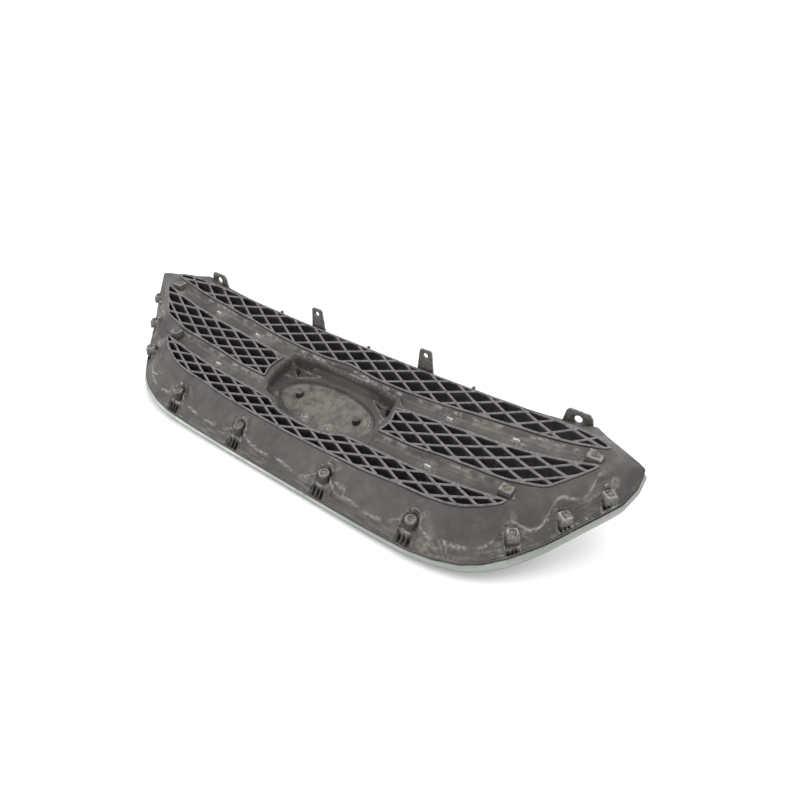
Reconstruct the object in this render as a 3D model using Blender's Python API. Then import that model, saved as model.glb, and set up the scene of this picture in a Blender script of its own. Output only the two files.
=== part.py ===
"""Front grille of a car, lying face down: +X is the car's left-right axis, +Y is up on the car, +Z is
rearward. Every piece is drawn flat, in x, y and a depth w behind the grille's own plane, and the same
lean and bow then shape all of them, so neighbours keep their gaps."""

import math

import bmesh
import bpy
from mathutils import Matrix, Vector, geometry

# ---- overall form -------------------------------------------------------------------------------
HALF_WIDTH = 0.419            # centre line to the tip of an ear
TOP_EDGE = 0.101              # top of the shell above the badge's centre line
BOTTOM_EDGE = 0.118           # bottom of the shell below it
LEAN = 0.293                  # rise toward the rear per unit of height
EAR_SWEEP = 0.05856           # rearward sweep of the ears, which grows as the fourth power of x
STEP_LENGTH = 0.040           # longest straight run along an outline
CROWN = 2e-6                  # keeps the points added to a run off one straight line

# ---- fits ---------------------------------------------------------------------------------------
FIT = 0.0003                  # gap round an insert
BOW_GAP = 0.001               # gap under a piece that follows the bow
SHELL = 0.004                 # wall of the shell, measured along Z
RIM = 0.0028                  # rim of a mesh insert

# ---- depths behind the grille's plane -------------------------------------------------------------
MESH_REAR = -0.0423
MESH_DEPTH = 0.018
BAR_REAR = -0.050             # recessed back of the bars
PLATE_REAR = -0.071           # recessed plate behind the badge
SHOULDER = -0.0445            # where the apron leaves the windows
LIP_DEPTH = BAR_REAR - SHELL - 0.0125   # front of the surround's inner lip, below the bars

# ---- mesh lattice ---------------------------------------------------------------------------------
CELL_WIDTH = 0.0437
RIB = 0.0031
ROW_UPPER, ROW_MIDDLE, ROW_LOWER = 0.0104, 0.0088, 0.0081
NODE_UPPER, NODE_MIDDLE, NODE_LOWER = 0.0843, 0.0265, -0.0500
SMALLEST_CELL = 26e-6         # a sliver below this area is left solid, in square metres

# ---- mounting tabs ----------------------------------------------------------------------------------
# Each stands on the shell's top edge: the height of its hole and of its top are above that edge.
TAB_WALL = 0.003
TAB_ROOT = 0.002              # how far a tab goes into the shell
OUTER_TAB = dict(x=0.325, hole=0.0102, hole_rise=0.0060, top_rise=0.0175, top_half=0.0165,
                 foot_half=0.0195)
INNER_TAB = dict(x=0.101, hole=0.0073, hole_rise=0.0295, top_rise=0.0385, top_half=0.0100,
                 foot_half=0.0140)
LOCATOR = (0.004, 0.004, 0.012)   # locating lugs along the top edge
LOCATORS = (-0.180, 0, 0.180)

# ---- screws, bosses and hooks ------------------------------------------------------------------------
SCREW_HEAD, SCREW_SHANK, SCREW_LENGTH = 0.0086, 0.0038, 0.0075
SCREW_TAPER = 0.0015          # length of a screw's point
HEAD_RIM, HEAD_HEIGHT = 0.0012, 0.0026
SCREW_PLAY = 0.0004           # gap all round a screw's shank
PILOT = SCREW_SHANK + 2 * SCREW_PLAY
PILOT_END = 0.001             # how far a pilot hole runs beyond its screw
SIDES = 16                    # facets round a boss or a screw
STATION_BOSS = PILOT / 2 + 0.0047
STATION_PEDESTAL = (0.0130, 0.0130)
BADGE_BOSS = PILOT / 2 + 0.0032
UPPER_PEDESTAL = (0.018, 0.016)
LOWER_PEDESTAL = (0.016, 0.014)
BOSS_ROOT = 0.003             # how far a boss goes into the wall that it stands on
BADGE_PEG = (0.0855, 0.0300, 0.0025)
PEG_HEIGHT = 0.0105
SLOT = (0.0055, 0.0085, 0.040)
SLOT_PITCH = 0.008
SLOT_OFFSET = 0.0125          # from a station's boss down to its three slots
HOOK_WIDTH, HOOK_STEM, HOOK_NOSE = 0.009, 0.0028, 0.0012
HOOK_PLAY = 0.0006
HOOK_RISE = 0.006             # from the back of a bar to a hook's tip
NOSE_RISE = 0.002             # from the back of a bar to the underside of a hook's nose

# ---- front pieces ------------------------------------------------------------------------------------
EDGE_GAP = 0.0015             # gap between the shell's edge and the surround's wall
SURROUND_WALL = 0.0025
TRIM_DEPTH = 0.012
BADGE_DEPTH = 0.010
BADGE_FACE_DEPTH = 0.004
BADGE_FACE_GAP = 0.0005

# ---- outlines ----------------------------------------------------------------------------------------
# They are drawn at these sizes, and stretched to the overall form.
DRAWN_HALF_WIDTH, DRAWN_TOP, DRAWN_BOTTOM = 0.419, 0.101, 0.118


def stretched(x, y, *rest):
    tall = TOP_EDGE / DRAWN_TOP if y > 0 else BOTTOM_EDGE / DRAWN_BOTTOM
    return (x * HALF_WIDTH / DRAWN_HALF_WIDTH, y * tall, *rest)


def drawn(outline):
    return [stretched(*point) for point in outline]


BADGE_SCREW = (*stretched(0.054, 0.0), PLATE_REAR + SCREW_LENGTH)
UPPER_BAR_SCREW = (*stretched(0.366, 0.0445), BAR_REAR - 0.001 + SCREW_LENGTH)
# it stands clear of both the bar and the shoulder beside it
LOWER_BAR_SCREW = (*stretched(0.2965, -0.0255),
                   max(BAR_REAR + 0.0025 + SCREW_LENGTH, SHOULDER + 0.0045))
# clip stations on the apron: x, y, depth of the boss's foot, and the solid left below its pilot hole
STATIONS = drawn([(0.080, -0.097, -0.062, 0.0070), (0.214, -0.096, -0.067, 0.0095),
                  (0.325, -0.060, -0.079, 0.0125), (0.365, -0.0185, -0.0775, 0.0030),
                  (0.3965, 0.0185, -0.0800, 0.0025)])
HOOKS_UPPER = drawn([(0.179, 0.0410), (0.272, 0.0440)])
HOOK_LOWER = stretched(0.1935, -0.0312)

UPPER_WINDOW = drawn([(0, 0.093), (0.190, 0.093), (0.245, 0.091), (0.295, 0.0855), (0.325, 0.0805),
                      (0.346, 0.0745), (0.362, 0.0680), (0.373, 0.0615), (0.3795, 0.0540),
                      (0.371, 0.0525), (0.330, 0.0545), (0.270, 0.058), (0.205, 0.057),
                      (0.150, 0.0525), (0.095, 0.050), (0.050, 0.0495), (0.024, 0.052), (0, 0.0545)])
MIDDLE_WINDOW = drawn([(0.104, 0.0235), (0.122, 0.0265), (0.150, 0.029), (0.210, 0.0315),
                       (0.320, 0.0315), (0.372, 0.0315), (0.377, 0.029), (0.3755, 0.0255),
                       (0.3645, 0.0155), (0.350, 0.0025), (0.339, -0.0075), (0.332, -0.0105),
                       (0.290, -0.0145), (0.245, -0.0135), (0.205, -0.014), (0.160, -0.018),
                       (0.108, -0.018), (0.1045, -0.0165), (0.109, -0.006), (0.1095, 0.006),
                       (0.106, 0.017)])
LOWER_WINDOW = drawn([(0, -0.0555), (0.034, -0.0550), (0.050, -0.051), (0.068, -0.0435),
                      (0.100, -0.042), (0.190, -0.041), (0.245, -0.0385), (0.302, -0.036),
                      (0.305, -0.0385), (0.300, -0.045), (0.284, -0.054), (0.263, -0.063),
                      (0.242, -0.068), (0.215, -0.070), (0.185, -0.0705), (0.130, -0.0745),
                      (0.060, -0.0765), (0, -0.0775)])
# shell's outer edge: x, y and depth, from the top centre to the bottom centre
EDGE = drawn([(0, 0.101, -0.054), (0.200, 0.101, -0.054), (0.262, 0.0995, -0.054),
              (0.302, 0.0985, -0.055), (0.350, 0.0955, -0.056), (0.364, 0.086, -0.058),
              (0.380, 0.0765, -0.060), (0.397, 0.066, -0.063), (0.411, 0.057, -0.066),
              (0.419, 0.0515, -0.069), (0.4185, 0.042, -0.082), (0.411, 0.026, -0.090),
              (0.384, -0.0065, -0.0885), (0.356, -0.0425, -0.0865), (0.328, -0.073, -0.082),
              (0.309, -0.090, -0.078), (0.286, -0.103, -0.0745), (0.256, -0.112, -0.0715),
              (0.222, -0.117, -0.069), (0.150, -0.118, -0.068), (0, -0.118, -0.068)])
PLATE = drawn([(0, 0.041), (0.060, 0.0405), (0.094, 0.036), (0.098, 0.018), (0.100, 0),
               (0.097, -0.016), (0.088, -0.029), (0.060, -0.036), (0.046, -0.046), (0, -0.0485)])
# the surround's front outer corner, point for point beside EDGE
SURROUND = drawn([(0, 0.108, -0.075), (0.200, 0.108, -0.075), (0.262, 0.1065, -0.075),
                  (0.304, 0.1045, -0.076), (0.353, 0.0995, -0.077), (0.369, 0.0905, -0.079),
                  (0.385, 0.081, -0.081), (0.401, 0.071, -0.084), (0.415, 0.061, -0.087),
                  (0.4225, 0.053, -0.088), (0.422, 0.041, -0.098), (0.414, 0.024, -0.106),
                  (0.387, -0.0085, -0.1045), (0.359, -0.0445, -0.103), (0.331, -0.0755, -0.099),
                  (0.311, -0.0925, -0.094), (0.288, -0.1055, -0.0890), (0.257, -0.1145, -0.0850),
                  (0.2225, -0.1195, -0.0820), (0.150, -0.1205, -0.0805), (0, -0.1205, -0.0805)])
# where the chrome's inner lip runs, just outside the windows
LIP = drawn([(0, 0.0965), (0.200, 0.0965), (0.262, 0.0945), (0.300, 0.0895), (0.333, 0.083),
             (0.352, 0.076), (0.366, 0.0700), (0.377, 0.0640), (0.383, 0.058), (0.3845, 0.054),
             (0.3845, 0.044), (0.384, 0.030), (0.377, 0.0215), (0.357, 0.002), (0.340, -0.0155),
             (0.316, -0.037), (0.292, -0.056), (0.268, -0.0665), (0.220, -0.0745), (0.150, -0.0785),
             (0, -0.082)])


UPPER_TRIM = drawn([(0.108, 0.0475), (0.150, 0.0500), (0.205, 0.0545), (0.270, 0.0555), (0.330, 0.0525),
                    (0.352, 0.0500), (0.352, 0.0375), (0.320, 0.0345), (0.210, 0.0345), (0.150, 0.0325),
                    (0.110, 0.0305)])
LOWER_TRIM = drawn([(0.114, -0.0385), (0.190, -0.0378), (0.245, -0.0352), (0.303, -0.0328),
                    (0.312, -0.0270), (0.308, -0.0165), (0.290, -0.0172), (0.245, -0.0162),
                    (0.205, -0.0168), (0.162, -0.0208), (0.114, -0.0208)])


# ---- work on outlines ---------------------------------------------------------------------------------
def mirrored(half):
    """Closes a half outline that runs from one point on the centre line to another."""
    back = [(-point[0], *point[1:]) for point in reversed(half) if point[0] > 1e-6]
    return list(half) + back


def flipped(outline):
    return [(-point[0], *point[1:]) for point in reversed(outline)]


def divided(outline):
    """Adds points to an outline, so that no run along X is too long to follow the bow."""
    points = []
    for start, end in zip(outline, outline[1:] + outline[:1]):
        count = max(1, math.ceil(abs(end[0] - start[0]) / STEP_LENGTH))
        crown = CROWN / math.dist(start[:2], end[:2])
        aside = ((end[1] - start[1]) * crown, (start[0] - end[0]) * crown, 0)
        points.append(start)
        for step in range(1, count):
            share = step / count
            points.append(tuple(a + (b - a) * share + c for a, b, c in zip(start, end, aside)))
    return points


def area(outline):
    pairs = zip(outline, outline[1:] + outline[:1])
    return 0.5 * sum(a[0] * b[1] - b[0] * a[1] for a, b in pairs)


def counter_clockwise(outline):
    return outline if area(outline) > 0 else outline[::-1]


def inset(outline, distance):
    """Moves every edge of an outline inward, and meets the moved edges at each corner."""
    outline = counter_clockwise([point[:2] for point in outline])
    moved = []
    for before, here, after in zip(outline[-1:] + outline[:-1], outline, outline[1:] + outline[:1]):
        one = (Vector(here) - Vector(before)).normalized()
        two = (Vector(after) - Vector(here)).normalized()
        bisector = Vector((-one.y - two.y, one.x + two.x)).normalized()
        reach = distance / max(0.5, bisector.dot(Vector((-one.y, one.x))))
        moved.append(tuple(Vector(here) + bisector * reach))
    return moved


def inside(x, y, outline):
    hit = False
    for a, b in zip(outline, outline[1:] + outline[:1]):
        if (a[1] > y) != (b[1] > y) and x < a[0] + (y - a[1]) / (b[1] - a[1]) * (b[0] - a[0]):
            hit = not hit
    return hit


def clipped(outline, convex):
    """The part of an outline inside a convex counter-clockwise polygon."""
    points = list(outline)
    for a, b in zip(convex, convex[1:] + convex[:1]):
        def side(point, a=a, b=b):
            return (b[0] - a[0]) * (point[1] - a[1]) - (b[1] - a[1]) * (point[0] - a[0])

        kept = []
        for here, after in zip(points, points[1:] + points[:1]):
            now, later = side(here), side(after)
            if now >= 0:
                kept.append(here)
            if (now >= 0) != (later >= 0):
                share = now / (now - later)
                kept.append(tuple(p + (q - p) * share for p, q in zip(here, after)))
        points = kept
        if len(points) < 3:
            return []
    return points


def without_doubles(outline, closest=0.0006):
    points = []
    for point in outline:
        if not points or math.dist(point, points[-1]) > closest:
            points.append(point)
    while len(points) > 2 and math.dist(points[0], points[-1]) <= closest:
        points.pop()
    return points


# ---- solids -----------------------------------------------------------------------------------------
def rise(x, y):
    """How far the lean and the bow move a point toward the rear."""
    return LEAN * y + EAR_SWEEP * (x / HALF_WIDTH) ** 4


def shaped(bm):
    for vertex in bm.verts:
        vertex.co.z += rise(vertex.co.x, vertex.co.y)
    return bm


def closed(bm):
    bmesh.ops.delete(bm, geom=[v for v in bm.verts if not v.link_faces], context="VERTS")
    bmesh.ops.recalc_face_normals(bm, faces=bm.faces)
    return bm


def filled(outline, holes=(), folds=()):
    """Triangles over an outline, outside its holes, with edges along its folds, and their points."""
    points, edges = [], []
    for loop in [outline, *holes, *folds]:
        first, count = len(points), len(loop)
        points += loop
        edges += [(first + i, first + (i + 1) % count) for i in range(count)]
    flat = [Vector(point[:2]) for point in points]
    corners, _, faces, origins, _, _ = geometry.delaunay_2d_cdt(flat, edges, [], 0, 1e-7)
    corners = [points[origin[0]] for origin in origins]
    kept = []
    for face in faces:
        x = sum(corners[i][0] for i in face) / 3
        y = sum(corners[i][1] for i in face) / 3
        if inside(x, y, outline) and not any(inside(x, y, hole) for hole in holes):
            kept.append(face)
    return corners, kept


def panel(outline, holes, folds, thickness):
    """A closed solid whose rear face passes through points (x, y, depth)."""
    corners, faces = filled(outline, holes, folds)
    bm = bmesh.new()
    top = [bm.verts.new(corner) for corner in corners]
    below = {vertex: bm.verts.new(vertex.co - Vector((0, 0, thickness))) for vertex in top}
    for face in faces:
        ring = [top[i] for i in face]
        bm.faces.new(ring)
        bm.faces.new([below[vertex] for vertex in reversed(ring)])
    for edge in [edge for edge in bm.edges if edge.is_boundary and edge.verts[0] in below]:
        start, end = edge.link_loops[0].vert, edge.link_loops[0].link_loop_next.vert
        bm.faces.new([end, start, below[start], below[end]])
    return closed(bm)


def lofted(outlines):
    """A closed solid through outlines (x, y, depth) of equal length, filled at both ends."""
    bm = bmesh.new()
    rings = [[bm.verts.new(point) for point in outline] for outline in outlines]
    for low, high in zip(rings, rings[1:]):
        for i in range(len(low)):
            j = (i + 1) % len(low)
            bm.faces.new([low[i], low[j], high[j], high[i]])
    for outline, ring in ((outlines[0], rings[0]), (outlines[-1], rings[-1])):
        corners, faces = filled(outline)
        vertex_at = {point[:2]: vertex for point, vertex in zip(outline, ring)}
        for face in faces:
            bm.faces.new([vertex_at[corners[i][:2]] for i in face])
    return closed(bm)


def at_depth(outline, depth):
    return [(x, y, depth) for x, y, *_ in outline]


def swept(sections):
    """A closed ring through sections of equal length, the last of which meets the first."""
    bm = bmesh.new()
    rings = [[bm.verts.new(point) for point in section] for section in sections]
    for low, high in zip(rings, rings[1:] + rings[:1]):
        for i in range(len(low)):
            j = (i + 1) % len(low)
            bm.faces.new([low[i], low[j], high[j], high[i]])
    return closed(bm)


def box(size, centre):
    bm = bmesh.new()
    bmesh.ops.create_cube(bm, size=1)
    matrix = Matrix.Translation(centre) @ Matrix.Diagonal((*size, 1))
    bmesh.ops.transform(bm, matrix=matrix, verts=bm.verts)
    return bm


def turned(profile, x, y, sides=SIDES):
    """A solid of revolution about Z through (radius, height) points."""
    bm = bmesh.new()
    turn = [2 * math.pi * i / sides for i in range(sides)]
    rings = [[bm.verts.new((x + r * math.cos(a), y + r * math.sin(a), z)) for a in turn]
             for r, z in profile]
    for low, high in zip(rings, rings[1:]):
        for i in range(sides):
            j = (i + 1) % sides
            bm.faces.new([low[i], low[j], high[j], high[i]])
    bm.faces.new(rings[0])
    bm.faces.new(rings[-1])
    return closed(bm)


def material(name, colour, roughness, metallic=0.0):
    made = bpy.data.materials.new(name)
    made.use_nodes = True
    shader = made.node_tree.nodes["Principled BSDF"]
    shader.inputs["Base Color"].default_value = (*colour, 1)
    shader.inputs["Roughness"].default_value = roughness
    shader.inputs["Metallic"].default_value = metallic
    return made


def add(name, bm, look):
    mesh = bpy.data.meshes.new(name)
    bm.to_mesh(mesh)
    bm.free()
    mesh.shade_smooth()
    mesh.set_sharp_from_angle(angle=math.radians(30))
    mesh.materials.append(look)
    made = bpy.data.objects.new(name, mesh)
    bpy.context.collection.objects.link(made)
    return made


def combine(target, operation, pieces):
    """Joins solids to an object, or cuts them from it. They don't touch each other."""
    bm = bmesh.new()
    for piece in pieces:
        mesh = bpy.data.meshes.new("piece")
        piece.to_mesh(mesh)
        piece.free()
        bm.from_mesh(mesh)
        bpy.data.meshes.remove(mesh)
    helper = add(f"{target.name} {operation.lower()}", bm, target.data.materials[0])
    helper.hide_render = True
    helper.display_type = "WIRE"
    boolean = target.modifiers.new(operation.title(), "BOOLEAN")
    boolean.operation = operation
    boolean.object = helper


def both_sides(places):
    return [(side * place[0], *place[1:]) for place in places for side in (-1, 1)]


# ---- mesh inserts -------------------------------------------------------------------------------------
def cells(window, row, node):
    """Diamond openings of one window. Their nodes stand on rows, and every other row is shifted."""
    field = inset(window, FIT + RIM)
    xs, ys = zip(*field)
    slant = math.hypot(CELL_WIDTH / 2, row)
    across = CELL_WIDTH / 2 - RIB / 2 * slant / row
    along = row - RIB / 2 * slant / (CELL_WIDTH / 2)
    found = []
    for j in range(math.floor((min(ys) - node) / row) - 1, math.ceil((max(ys) - node) / row) + 2):
        shift = 0 if j % 2 else CELL_WIDTH / 2
        for i in range(math.floor(min(xs) / CELL_WIDTH) - 1, math.ceil(max(xs) / CELL_WIDTH) + 1):
            x, y = i * CELL_WIDTH + shift, node + j * row
            diamond = [(x + across, y), (x, y + along), (x - across, y), (x, y - along)]
            piece = without_doubles(clipped(field, diamond))
            if len(piece) > 2 and area(piece) > SMALLEST_CELL:
                found.append(at_depth(piece, MESH_REAR))
    return found


def mesh_insert(name, window, row, node, look):
    outline = at_depth(divided(inset(window, FIT)), MESH_REAR)
    bm = panel(outline, cells(window, row, node), [], MESH_DEPTH)
    return add(name, shaped(bm), look)


# ---- shell ------------------------------------------------------------------------------------------
def window_edge(outline, beside_bar):
    """Gives each point of a window its depth on the shell: a bar's recess, or the apron's shoulder."""
    return [(*point, BAR_REAR if beside_bar(abs(point[0]), point[1]) else SHOULDER)
            for point in outline]


def shell_panel():
    upper_end, upper_foot = stretched(0.372, 0.0585)
    middle_start, middle_top = stretched(0.111, 0.0260)
    lower_end, middle_foot = stretched(0.301, -0.0130)
    lower_top = stretched(0, -0.056)[1]
    upper = window_edge(mirrored(UPPER_WINDOW), lambda x, y: y < upper_foot and x < upper_end)
    right = window_edge(MIDDLE_WINDOW,
                        lambda x, y: y > middle_top or y < middle_foot or x < middle_start)
    lower = window_edge(mirrored(LOWER_WINDOW), lambda x, y: y > lower_top and x < lower_end)
    plate_rim = at_depth(inset(mirrored(PLATE), -0.0040), BAR_REAR)
    plate_floor = at_depth(mirrored(PLATE), PLATE_REAR)
    windows = [divided(window) for window in (upper, right, flipped(right), lower)]
    return panel(divided(mirrored(EDGE)), windows, [divided(plate_rim), divided(plate_floor)], SHELL)


def boss(place, radius, foot):
    x, y, top = place
    height = rise(x, y)
    return turned([(radius * 1.08, height + foot), (radius, height + top)], x, y)


def pilot(place):
    x, y, top = place
    height = rise(x, y) + top
    return turned([(PILOT / 2, height - SCREW_LENGTH - PILOT_END), (PILOT / 2, height + 0.002)], x, y)


def pedestal(place, size, foot):
    x, y, top = place
    height = rise(x, y)
    return box((*size, top - foot), (x, y, height + (top + foot) / 2))


def bar_pedestal(place, size):
    """A block with a level top, whose foot follows a bar and lies in the bar's wall."""
    x, y, top = place
    bm = box((*size, 1), (x, y, 0))
    for vertex in bm.verts:
        at_top = vertex.co.z > 0
        foot = rise(vertex.co.x, vertex.co.y) + BAR_REAR - BOSS_ROOT
        vertex.co.z = rise(x, y) + top if at_top else foot
    return bm


def edge_at(x):
    """(y, depth) of the shell's top edge at a distance from the centre line."""
    for (x0, y0, depth0), (x1, y1, depth1) in zip(EDGE, EDGE[1:]):
        if x0 <= abs(x) < x1:
            share = (abs(x) - x0) / (x1 - x0)
            return y0 + (y1 - y0) * share, depth0 + (depth1 - depth0) * share
    raise ValueError("that is beyond the shell's top edge")


def tab_place(x, foot_half, **_):
    """(y, z) where a tab stands: just outside the shell's edge along its foot, and on the edge."""
    y = max(edge_at(abs(x) - foot_half)[0], edge_at(x)[0]) - TAB_WALL / 2 + 0.0005
    return y, edge_at(x)[1] + rise(x, y)


def tab(x, top_rise, top_half, foot_half, **_):
    """An upright mounting tab, flat in XZ. It narrows toward its top, and its foot follows the shell."""
    y, edge_z = tab_place(x, foot_half)
    crop, top = 0.3 * top_half, edge_z + top_rise
    feet = [edge_at(x + a)[1] + rise(x + a, y) - TAB_ROOT for a in (-foot_half, foot_half)]
    outline = [(-foot_half, feet[0]), (foot_half, feet[1]), (top_half, top - crop),
               (top_half - crop, top), (crop - top_half, top), (-top_half, top - crop)]
    bm = bmesh.new()
    front = [bm.verts.new((x + a, y - TAB_WALL / 2, b)) for a, b in outline]
    back = [bm.verts.new((x + a, y + TAB_WALL / 2, b)) for a, b in outline]
    for i in range(len(outline)):
        j = (i + 1) % len(outline)
        bm.faces.new([front[i], front[j], back[j], back[i]])
    bm.faces.new(front)
    bm.faces.new(back)
    return closed(bm)


def tab_hole(x, hole, hole_rise, foot_half, **_):
    y, edge_z = tab_place(x, foot_half)
    bm = turned([(hole / 2, -TAB_WALL), (hole / 2, TAB_WALL)], 0, 0, 24)
    matrix = Matrix.Translation((x, y, edge_z + hole_rise)) @ Matrix.Rotation(math.radians(90), 4, "X")
    bmesh.ops.transform(bm, matrix=matrix, verts=bm.verts)
    return bm


def tabs():
    """Sizes of the four mounting tabs, each with its own side's x."""
    return [{**sizes, "x": side * stretched(sizes["x"], 0)[0]}
            for sizes in (OUTER_TAB, INNER_TAB) for side in (-1, 1)]


def station_slots(x, y):
    """Three slots in the apron below a station, which leave two fins between them."""
    height = rise(x, y)
    offset = SLOT_OFFSET * BOTTOM_EDGE / DRAWN_BOTTOM
    return [box(SLOT, (x + i * SLOT_PITCH, y - offset, height - 0.064)) for i in (-1, 0, 1)]


def hook_slots():
    size = (HOOK_WIDTH + 5 * HOOK_PLAY, HOOK_STEM + HOOK_NOSE + 2 * HOOK_PLAY, 0.020)
    places = both_sides(HOOKS_UPPER + [HOOK_LOWER])
    return [box(size, (x, y, rise(x, y) + BAR_REAR)) for x, y in places]


def station_top(station):
    """(x, y, depth) of a station's boss, which is as tall as its screw needs."""
    x, y, foot, solid = station
    return (x, y, foot + solid + SCREW_LENGTH)


def shell(look):
    made = add("body_shell", shaped(shell_panel()), look)
    badge = both_sides([BADGE_SCREW])
    upper = both_sides([UPPER_BAR_SCREW])
    lower = both_sides([LOWER_BAR_SCREW])
    round_ones = both_sides(STATIONS[:2])
    square_ones = both_sides(STATIONS[2:])
    wide, tall = STATION_PEDESTAL
    square = (wide, tall * BOTTOM_EDGE / DRAWN_BOTTOM)
    peg_x, peg_y, peg_radius = BADGE_PEG
    pegs = both_sides([(*stretched(peg_x, peg_y), PLATE_REAR + PEG_HEIGHT)])
    grown = [boss(station_top(place), STATION_BOSS, place[2]) for place in round_ones]
    grown += [pedestal(station_top(place), square, place[2]) for place in square_ones]
    grown += [boss(place, BADGE_BOSS, PLATE_REAR - BOSS_ROOT) for place in badge]
    grown += [boss(place, peg_radius, PLATE_REAR - BOSS_ROOT) for place in pegs]
    grown += [bar_pedestal(place, UPPER_PEDESTAL) for place in upper]
    grown += [bar_pedestal(place, LOWER_PEDESTAL) for place in lower]
    for drawn_x in LOCATORS:
        x, y = stretched(drawn_x, TOP_EDGE)[0], TOP_EDGE - 0.0025
        grown.append(box(LOCATOR, (x, y, edge_at(x)[1] + rise(x, y) + 0.005)))
    grown += [tab(**sizes) for sizes in tabs()]
    combine(made, "UNION", grown)
    cut = [pilot(place) for place in badge + upper + lower]
    cut += [pilot(station_top(place)) for place in round_ones + square_ones]
    cut += hook_slots()
    for x, y, *_ in round_ones:
        cut += station_slots(x, y)
    cut += [tab_hole(**sizes) for sizes in tabs()]
    combine(made, "DIFFERENCE", cut)
    return made


# ---- front pieces --------------------------------------------------------------------------------------
def surround_section(edge, corner, lip):
    """The surround's section at one place: its wall under the shell, its nose, and its slope to the lip."""
    x, y, depth = corner
    inward = (Vector(lip) - Vector((x, y))).normalized()
    width = math.dist(lip, (x, y))
    under = edge[2] - SHELL - EDGE_GAP
    crest = (depth + LIP_DEPTH) / 2 - 1.5 * SHELL

    def at(distance, z, start=(x, y)):
        place = Vector(start) + inward * distance
        return (place.x, place.y, z)

    return [at(0.0020 - SURROUND_WALL, under, edge[:2]), at(0, depth + 0.006), at(0.0008, depth),
            at(0.22 * width, depth - 0.0035), at(0.55 * width, crest), at(width, LIP_DEPTH),
            at(width - 0.002, LIP_DEPTH + 0.0025), at(0.60 * width, crest + 0.0050),
            at(0.33 * width, depth + 0.001), at(0.0032, depth + 0.006),
            at(0.0020, under, edge[:2])]


def surround(look):
    sections = []
    half = list(zip(EDGE, SURROUND, LIP))
    for one, two in zip(half, half[1:]):
        count = max(1, math.ceil(abs(two[0][0] - one[0][0]) / STEP_LENGTH))
        for step in range(count):
            share = step / count
            edge, corner, lip = [tuple(a + (b - a) * share for a, b in zip(p, q))
                                 for p, q in zip(one, two)]
            sections.append(surround_section(edge, corner, lip))
    sections.append(surround_section(*half[-1]))
    mirror = [[(-x, y, z) for x, y, z in section] for section in reversed(sections[1:-1])]
    return add("chrome_surround", shaped(swept(sections + mirror)), look)


def hook(x, y, foot):
    """A snap hook: a stem through its slot, with a nose over the bar's edge."""
    height = rise(x, y)
    half, tip, nose = HOOK_STEM / 2, BAR_REAR + HOOK_RISE, BAR_REAR + NOSE_RISE
    section = [(-half, foot), (half, foot), (half, nose), (half + HOOK_NOSE, nose),
               (half - 0.0006, tip), (-half, tip)]
    bm = bmesh.new()
    ends = [[bm.verts.new((x + side * HOOK_WIDTH / 2, y + a, height + b)) for a, b in section]
            for side in (-1, 1)]
    for i in range(len(section)):
        j = (i + 1) % len(section)
        bm.faces.new([ends[0][i], ends[0][j], ends[1][j], ends[1][i]])
    bm.faces.new(ends[0])
    bm.faces.new(ends[1])
    return closed(bm)


def bar_trim(name, outline, hooks, look):
    """A bright strip in front of a bar, rounded toward its face, with its snap hooks."""
    back = BAR_REAR - SHELL - BOW_GAP
    outline = divided(counter_clockwise(outline))
    outlines = [at_depth(outline, back), at_depth(outline, back - TRIM_DEPTH / 2),
                at_depth(inset(outline, 0.0014), back - TRIM_DEPTH * 5 / 6),
                at_depth(inset(outline, 0.0032), back - TRIM_DEPTH)]
    made = add(name, shaped(lofted(outlines)), look)
    combine(made, "UNION", [hook(x, y, back - TRIM_DEPTH / 3) for x, y in hooks])
    return made


def ellipse(half_x, half_y, depth, count=48):
    turn = [2 * math.pi * i / count for i in range(count)]
    return drawn([(half_x * math.cos(a), half_y * math.sin(a), depth) for a in turn])


def screw(name, place, look):
    x, y, top = place
    height = rise(x, y) + top
    radius = SCREW_HEAD / 2
    profile = [(SCREW_SHANK / 3, height - SCREW_LENGTH),
               (SCREW_SHANK / 2, height - SCREW_LENGTH + SCREW_TAPER), (SCREW_SHANK / 2, height + FIT),
               (radius, height + FIT), (radius, height + HEAD_RIM), (radius * 0.62, height + HEAD_HEIGHT)]
    return add(name, turned(profile, x, y), look)


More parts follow.
